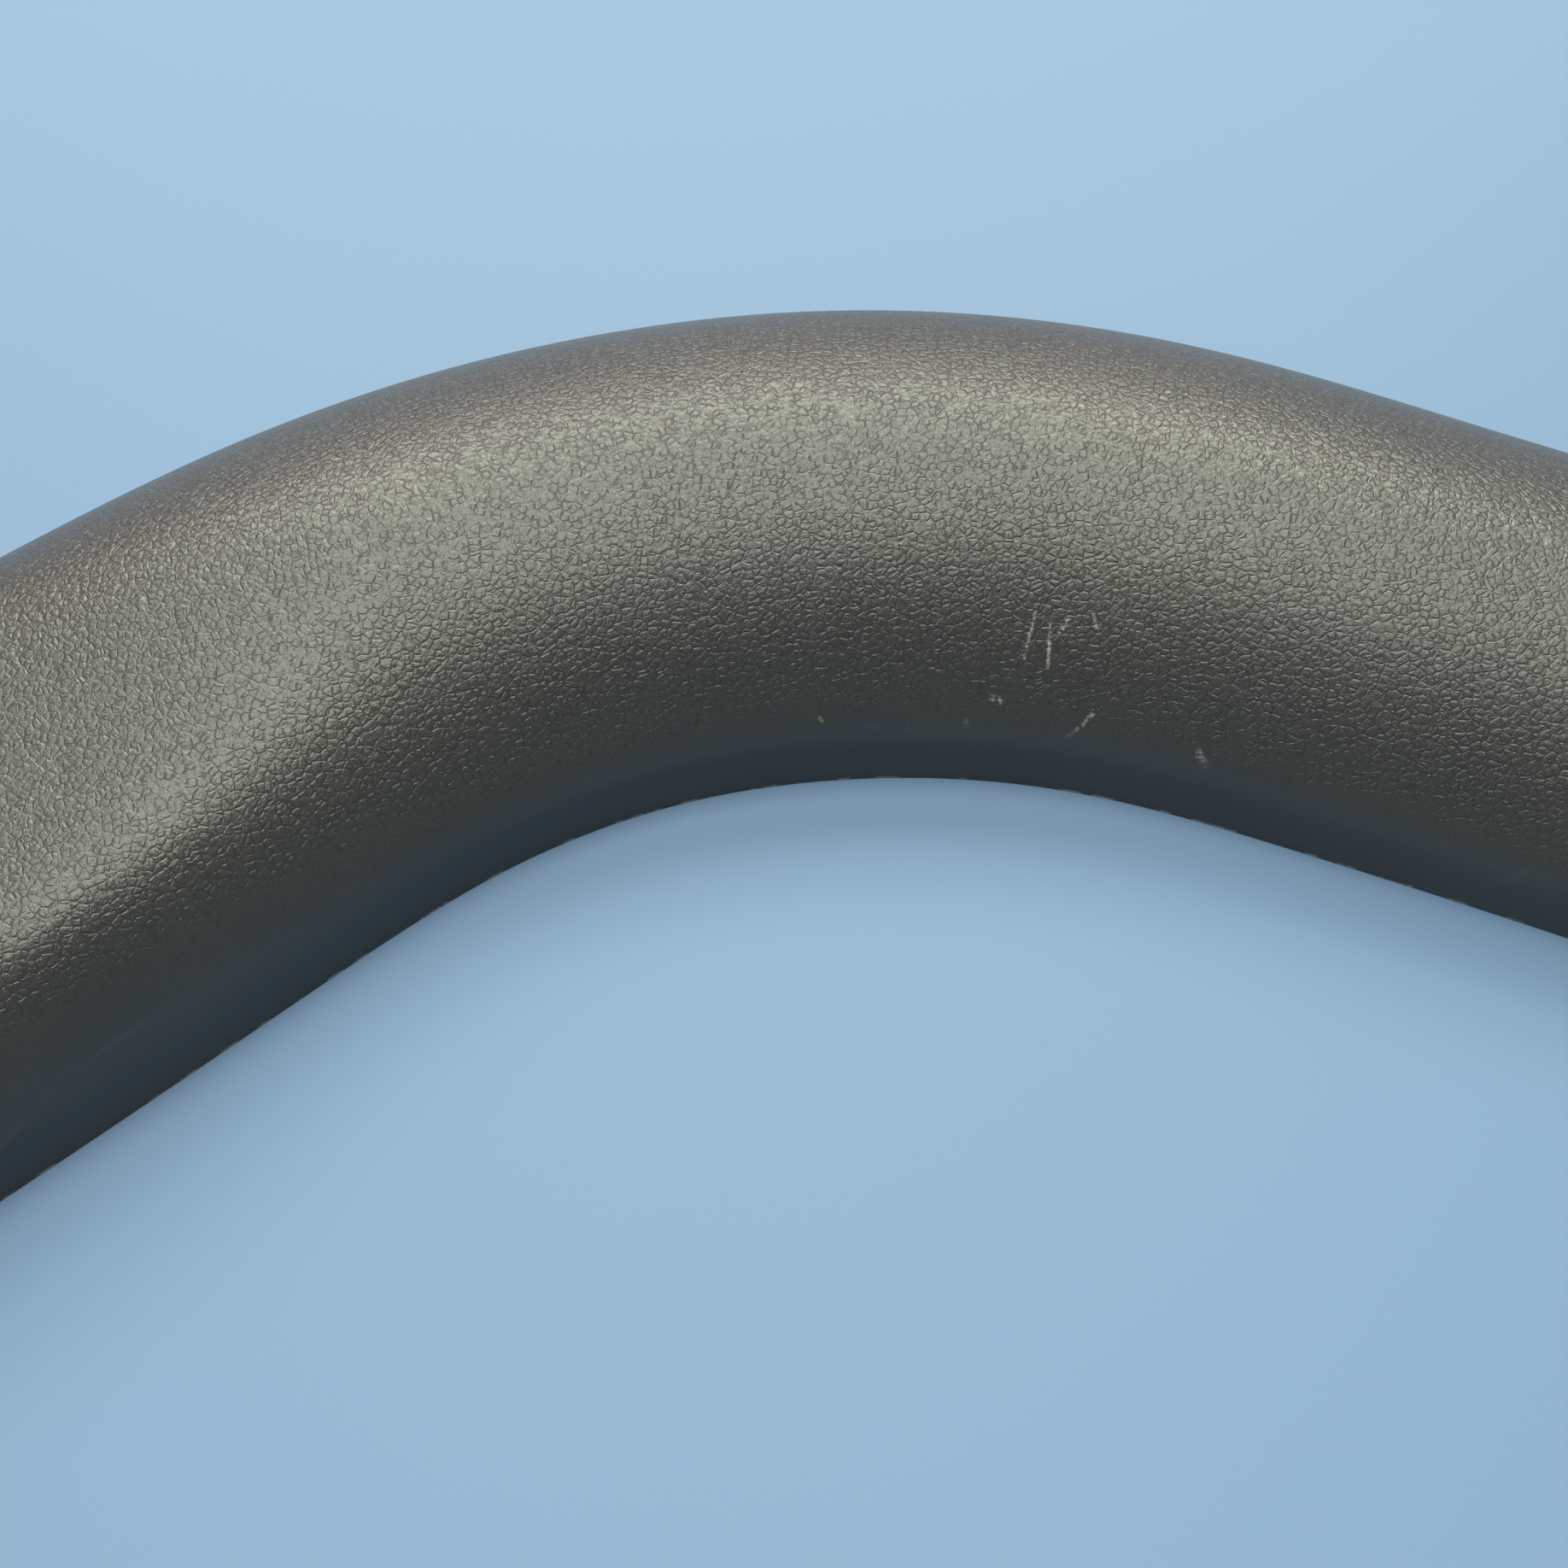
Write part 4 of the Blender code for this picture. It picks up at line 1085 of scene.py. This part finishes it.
def satin_plastic(name, base, roughness, depth):
    material, tree, shader, where = new_finish(name)
    point = where["Object"]
    fine = place(tree, satin, Vector=point, Grains=4200.0, Drifts=45.0)
    worn = place(tree, wear, Vector=point, Patches=55.0, Hairs=9.0)
    darker = tuple(DRIFT_DARKER * part for part in base[:3]) + (1,)
    colour = blend_colours(tree, fine["Drift"], base, darker)
    polished = maths(tree, "MULTIPLY", mark(tree, "bulge"), 0.35)
    colour = blend_colours(tree, polished, colour, POLISHED)
    in_hollows = maths(tree, "MULTIPLY", mark(tree, "hollow"), 0.5)
    settled = maths(tree, "MAXIMUM", worn["Dust"], in_hollows)
    colour = blend_colours(tree, maths(tree, "MULTIPLY", settled, 0.4), colour, DUST)
    colour = blend_colours(tree, maths(tree, "MULTIPLY", worn["Hairlines"], 0.4), colour, DUST)
    feed(tree, shader.inputs["Base Color"], colour)
    dull = maths(tree, "MULTIPLY_ADD", fine["Drift"], 0.07, roughness)
    feed(tree, shader.inputs["Roughness"], maths(tree, "MULTIPLY_ADD", settled, 0.25, dull))
    bump(tree, shader, fine["Height"], depth)
    return material


back_plastic = satin_plastic("spark_finished_plastic", (0.026, 0.026, 0.026, 1), 0.38, 0.02 * MM)
plug_plastic = satin_plastic("plug_plastic", (0.020, 0.020, 0.021, 1), 0.27, 0.008 * MM)

# %% [markdown]
# ## Zinc plate, steel and screws
#
# Studs, washers and nuts are zinc plated: a bright but cloudy metal with faint bluish and
# straw-coloured patches, where the passivation differs in thickness. Crests rub down to
# brighter steel and hollows keep darker dirt. The rod and the plates inside are drawn steel
# with marks along their length, and the cover screws are blackened. All are one network, so
# again a function makes them with their own colours and numbers.


# %% Wire the metals
GRIME = (0.10, 0.095, 0.085, 1)
CREST_FADE = (0.45, 0.95)  # bulge between which plating is rubbed through


def plated_metal(name, tint, other_tint, worn_tint, roughness, depth, pull=(1, 1, 1)):
    """A metal with cloudy colour, marks drawn out along one axis, and worn edges."""
    material, tree, shader, where = new_finish(name)
    point = where["Object"]
    drawn = vectors(tree, "MULTIPLY", point, pull)
    fine = place(tree, satin, Vector=drawn, Grains=2400.0, Drifts=260.0)
    worn = place(tree, wear, Vector=point, Patches=190.0, Hairs=40.0)
    colour = blend_colours(tree, fine["Drift"], tint, other_tint)
    rubbed = ease(tree, mark(tree, "bulge"), *CREST_FADE)
    colour = blend_colours(tree, rubbed, colour, worn_tint)
    in_hollows = maths(tree, "MULTIPLY", mark(tree, "hollow"), 0.8)
    soiled = maths(tree, "MAXIMUM", worn["Dust"], in_hollows)
    colour = blend_colours(tree, maths(tree, "MULTIPLY", soiled, 0.55), colour, GRIME)
    feed(tree, shader.inputs["Base Color"], colour)
    shader.inputs["Metallic"].default_value = 1.0
    dull = maths(tree, "MULTIPLY_ADD", fine["Drift"], 0.12, roughness)
    feed(tree, shader.inputs["Roughness"], maths(tree, "MULTIPLY_ADD", soiled, 0.25, dull))
    bump(tree, shader, fine["Height"], depth)
    return material


zinc = plated_metal(
    "zinc_plate",
    (0.36, 0.375, 0.40, 1),
    (0.38, 0.36, 0.30, 1),
    (0.50, 0.51, 0.52, 1),
    0.34,
    0.012 * MM,
)
drawn_steel = plated_metal(
    "drawn_steel",
    (0.50, 0.50, 0.51, 1),
    (0.42, 0.41, 0.40, 1),
    (0.66, 0.66, 0.66, 1),
    0.32,
    0.010 * MM,
    pull=(0.08, 1, 1),
)
blackened_steel = plated_metal(
    "blackened_steel",
    (0.055, 0.055, 0.06, 1),
    (0.09, 0.08, 0.07, 1),
    (0.30, 0.30, 0.31, 1),
    0.4,
    0.006 * MM,
)

# %% [markdown]
# ## Rubber and nylon
#
# The gaskets are black rubber, dull and faintly bloomed: a pale grey haze of wax that comes to
# the surface of rubber with age, thicker in the hollows that fingers don't wipe. The rings in
# the lock nuts are natural nylon, slightly waxy, and translucent enough to glow at thin edges.


# %% Wire the rubber and the nylon
RUBBER, RUBBER_DRIFT = (0.014, 0.014, 0.014, 1), (0.021, 0.020, 0.020, 1)
RUBBER_BLOOM = (0.10, 0.10, 0.098, 1)
NYLON, NYLON_DRIFT = (0.66, 0.63, 0.54, 1), (0.58, 0.55, 0.46, 1)
NYLON_DIRT = (0.22, 0.20, 0.17, 1)

rubber, tree, shader, where = new_finish("gasket_rubber")
point = where["Object"]
fine = place(tree, satin, Vector=point, Grains=3000.0, Drifts=70.0)
worn = place(tree, wear, Vector=point, Patches=120.0, Hairs=12.0)
bloom = maths(tree, "MAXIMUM", worn["Dust"], maths(tree, "MULTIPLY", mark(tree, "hollow"), 0.6))
colour = blend_colours(tree, fine["Drift"], RUBBER, RUBBER_DRIFT)
colour = blend_colours(tree, maths(tree, "MULTIPLY", bloom, 0.5), colour, RUBBER_BLOOM)
feed(tree, shader.inputs["Base Color"], colour)
feed(tree, shader.inputs["Roughness"], maths(tree, "MULTIPLY_ADD", fine["Drift"], 0.12, 0.66))
bump(tree, shader, fine["Height"], 0.03 * MM)

nylon, tree, shader, where = new_finish("natural_nylon")
point = where["Object"]
fine = place(tree, satin, Vector=point, Grains=2500.0, Drifts=400.0)
worn = place(tree, wear, Vector=point, Patches=300.0, Hairs=40.0)
colour = blend_colours(tree, fine["Drift"], NYLON, NYLON_DRIFT)
colour = blend_colours(tree, maths(tree, "MULTIPLY", worn["Dust"], 0.5), colour, NYLON_DIRT)
feed(tree, shader.inputs["Base Color"], colour)
feed(tree, shader.inputs["Roughness"], maths(tree, "MULTIPLY_ADD", fine["Drift"], 0.1, 0.38))
shader.inputs["Subsurface Weight"].default_value = 0.15
shader.inputs["Subsurface Radius"].default_value = (MM, 0.9 * MM, 0.7 * MM)
bump(tree, shader, fine["Height"], 0.012 * MM)

# %% [markdown]
# ## Give each piece its finish
#
# New pieces and the CAD nodes that stay are dressed in one pass, by the start of their names.
# The rod, the foot plates and the cover screws are inside the closed rail, so their CAD shapes
# are kept and only their material slots are filled.

# %% Dress the pieces
DRESS = {
    "top_half": grained_plastic,
    "back_half": back_plastic,
    "plug_": plug_plastic,
    "stud_": zinc,
    "washer_": zinc,
    "nut_": zinc,
    "nylon_ring_": nylon,
    "gasket_": rubber,
    "core_rod": drawn_steel,
    "left_foot_plate": drawn_steel,
    "right_foot_plate": drawn_steel,
    "cover_screw_": blackened_steel,
}

for start, material in DRESS.items():
    dressed = [piece for piece in bpy.context.scene.objects if piece.name.startswith(start)]
    for piece in dressed:
        for slot in piece.material_slots:
            slot.material = material
        if not piece.material_slots:
            piece.data.materials.append(material)
    print(material.name, "on", len(dressed), "pieces from", start)

# %% [markdown]
# ## A pale floor, soft light and the camera
#
# Satin plastic shows its shape by what it reflects. A wide soft box low beyond the rail is
# caught by the roll-over of the crown as one long highlight, a dimmer one overhead lifts the
# crown itself, and the dark room behind the camera leaves the walls deep. The floor is pale
# with a little blue in it, and it shows again, darker, along the inner wall. Soft boxes are
# hidden from the camera so that no view looks into a lamp.

# %% Lay the floor
FLOOR_SIZE = 6.0
FLOOR_GAP = 0.1 * MM  # keeps the rim and the floor from sharing one plane
FLOOR_COLOUR = (0.115, 0.20, 0.325, 1)
FLOOR_DRIFT = 1.04  # how much lighter its lighter patches are

bpy.ops.object.select_all(action="DESELECT")
bpy.ops.mesh.primitive_plane_add(size=FLOOR_SIZE, location=(0, 0, cad_low.z - FLOOR_GAP))
floor = bpy.context.object
floor.name = "floor"
floor_paint, tree, shader, where = new_finish("floor_paint")
fine = place(tree, satin, Vector=where["Object"], Grains=900.0, Drifts=2.0)
lighter = tuple(FLOOR_DRIFT * part for part in FLOOR_COLOUR[:3]) + (1,)
feed(tree, shader.inputs["Base Color"], blend_colours(tree, fine["Drift"], FLOOR_COLOUR, lighter))
shader.inputs["Roughness"].default_value = 0.6
floor.data.materials.append(floor_paint)
floor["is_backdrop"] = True

# %% Hang the lights
TARGET = Vector((0.0077, 0.0164, 0.0))
ROOM_COLOUR = (0.80, 0.86, 0.95, 1)
ROOM_STRENGTH = 0.32


def soft_box(name, azimuth, elevation, distance, width, height, radiance, colour):
    """A rectangular lamp facing the rail; azimuth 0 is straight beyond it, along +Y."""
    turn, rise = math.radians(azimuth), math.radians(elevation)
    direction = Vector(
        (math.sin(turn) * math.cos(rise), math.cos(turn) * math.cos(rise), math.sin(rise))
    )
    bpy.ops.object.light_add(type="AREA", location=TARGET + distance * direction)
    lamp = bpy.context.object
    lamp.name = name
    lamp.rotation_euler = direction.to_track_quat("Z", "Y").to_euler()
    lamp.data.shape = "RECTANGLE"
    lamp.data.size = width
    lamp.data.size_y = height
    lamp.data.energy = radiance * math.pi * width * height
    lamp.data.color = colour
    lamp.visible_camera = False
    print(name, "gives", round(lamp.data.energy, 1), "W")


soft_box("far_soft_box", 8.0, 41.0, 1.1, 1.2, 0.36, 11.5, (0.985, 0.985, 0.84))
soft_box("overhead_soft_box", 0.0, 83.0, 1.3, 1.1, 1.0, 5.6, (0.98, 0.99, 0.86))
soft_box("left_soft_box", -95.0, 42.0, 1.4, 0.7, 0.7, 2.4, (1.0, 0.98, 0.94))
soft_box("plum_card", 0.0, 8.0, 1.2, 2.4, 0.3, 0.9, (0.62, 0.13, 0.27))

world = bpy.data.worlds.new("dim_room")
bpy.context.scene.world = world
world.use_nodes = True
room = world.node_tree.nodes["Background"]
room.inputs["Color"].default_value = ROOM_COLOUR
room.inputs["Strength"].default_value = ROOM_STRENGTH

# %% Set the camera
CAMERA_STEP = Vector((-0.0175, -0.0994, 0.1747))  # from the target to the camera, in metres
FIELD_OF_VIEW = 40.0

camera_data = bpy.data.cameras.new("camera")
camera_data.lens = camera_data.sensor_width / 2 / math.tan(math.radians(FIELD_OF_VIEW) / 2)
camera_data.clip_start = MM
camera = bpy.data.objects.new("camera", camera_data)
bpy.context.scene.collection.objects.link(camera)
camera.location = TARGET + CAMERA_STEP
camera.rotation_euler = CAMERA_STEP.to_track_quat("Z", "Y").to_euler()
bpy.context.scene.camera = camera
bpy.context.scene.view_settings.view_transform = "Standard"
print("lens:", round(camera_data.lens, 1), "mm")

# %% [markdown]
# ## Measure the size
#
# The detailed model should stay the size of the CAD model, so its box is measured again and
# its growth over the CAD box, in millimetres, is printed.

# %% Print the growth over the CAD box
now_low, now_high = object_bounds()
growth = [
    round(((b - a) - (d - c)) / MM, 2) for a, b, c, d in zip(now_low, now_high, cad_low, cad_high)
]
print("the visual model is larger by, in mm:", growth)
